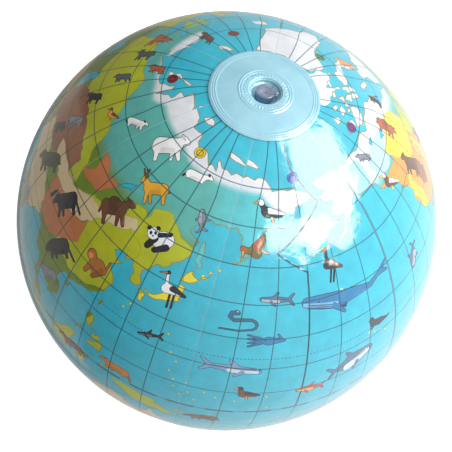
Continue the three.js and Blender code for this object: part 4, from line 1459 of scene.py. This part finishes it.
def settle_camera():
    """Places the camera; returns its own right, up and back directions."""
    spread = cos_of(CAMERA_ELEVATION)
    back = Vector((sin_of(CAMERA_AZIMUTH) * spread, -cos_of(CAMERA_AZIMUTH) * spread,
                   sin_of(CAMERA_ELEVATION)))
    level_right = Vector((0, 0, 1)).cross(back).normalized()
    level_up = back.cross(level_right)
    right = level_right * cos_of(CAMERA_ROLL) + level_up * sin_of(CAMERA_ROLL)
    up = back.cross(right)
    camera = bpy.data.objects.new("camera", bpy.data.cameras.new("camera"))
    bpy.context.collection.objects.link(camera)
    place = Matrix((right, up, back)).transposed().to_4x4()
    place.translation = CENTRE + back * CAMERA_DISTANCE
    camera.matrix_world = place
    camera.data.lens = CAMERA_LENS
    camera.data.sensor_width = SENSOR_WIDTH
    camera.data.shift_x, camera.data.shift_y = CAMERA_SHIFT
    bpy.context.scene.camera = camera
    return right, up, back


def softbox(name, direction, upright, distance, size, watts, gloss_only=False):
    """A rectangular light that faces the ball, with its height along the upright direction.

    It lights the ball without showing in it, or, if gloss_only, shows in it without lighting it.
    """
    light = bpy.data.objects.new(name, bpy.data.lights.new(name, "AREA"))
    bpy.context.collection.objects.link(light)
    light.data.shape = "RECTANGLE"
    light.data.size, light.data.size_y = size
    light.data.energy = watts
    away = direction.normalized()
    across = upright.cross(away).normalized()
    place = Matrix((across, away.cross(across), away)).transposed().to_4x4()
    place.translation = CENTRE + away * distance
    light.matrix_world = place
    light.visible_diffuse = not gloss_only
    light.visible_glossy = gloss_only
    return light


def studio(right, up, back):
    """Soft lights round the camera, and a surrounding brightness that is higher on the window's side."""
    window = right * 0.74 + up * 0.28 + back * 0.6
    low_pane = right * 0.57 - up * 0.12 + back * 0.81
    softbox("key", window, up, 1.5, (1, 1), 13)
    softbox("window", window, up, 1.3, (0.74, 1.3), 46, gloss_only=True)
    softbox("low_pane", low_pane, up, 1.3, (0.75, 0.36), 13, gloss_only=True)
    wall = softbox("wall", back * -0.5 - right, up, 1.3, (1.5, 1.8), 4, gloss_only=True)
    wall.data.color = (1, 0.9, 0.78)
    world = bpy.data.worlds.new("studio")
    bpy.context.scene.world = world
    world.use_nodes = True
    tree = world.node_tree
    direction = tree.nodes.new("ShaderNodeTexCoord")
    side = tree.nodes.new("ShaderNodeVectorMath")
    side.operation = "DOT_PRODUCT"
    side.inputs[1].default_value = (right * 0.9 - up * 0.25 + back * 0.2).normalized()
    tree.links.new(direction.outputs["Generated"], side.inputs[0])
    share = (Field(tree, side.outputs["Value"]) * 0.85 + 0.45).within()
    tree.links.new(blended(tree, share, (0.17, 0.16, 0.15), (1.14, 1.14, 1.14)),
                   tree.nodes["Background"].inputs["Color"])
    ray = tree.nodes.new("ShaderNodeLightPath")
    strength = Field(tree, ray.outputs["Is Glossy Ray"]) * 0.75 + 1
    tree.links.new(strength.socket, tree.nodes["Background"].inputs["Strength"])
    bpy.context.scene.view_settings.view_transform = "Standard"


def floor():
    """A pale, softly glowing floor that neither lights the ball nor shows in it."""
    shape = bmesh.new()
    bmesh.ops.create_circle(shape, cap_ends=True, radius=FLOOR_RADIUS, segments=64)
    mesh = bpy.data.meshes.new("floor")
    shape.to_mesh(mesh)
    shape.free()
    piece = object_from(mesh)
    piece.location.z = -FLOOR_DROP
    material, _, shader = new_material("floor")
    shader.inputs["Base Color"].default_value = (0.86, 0.86, 0.86, 1)
    shader.inputs["Roughness"].default_value = 0.9
    shader.inputs["Emission Color"].default_value = (1, 1, 1, 1)
    shader.inputs["Emission Strength"].default_value = 0.75
    mesh.materials.append(material)
    piece.visible_diffuse = False
    piece.visible_glossy = False


build_ball()
build_valve()
studio(*settle_camera())
floor()
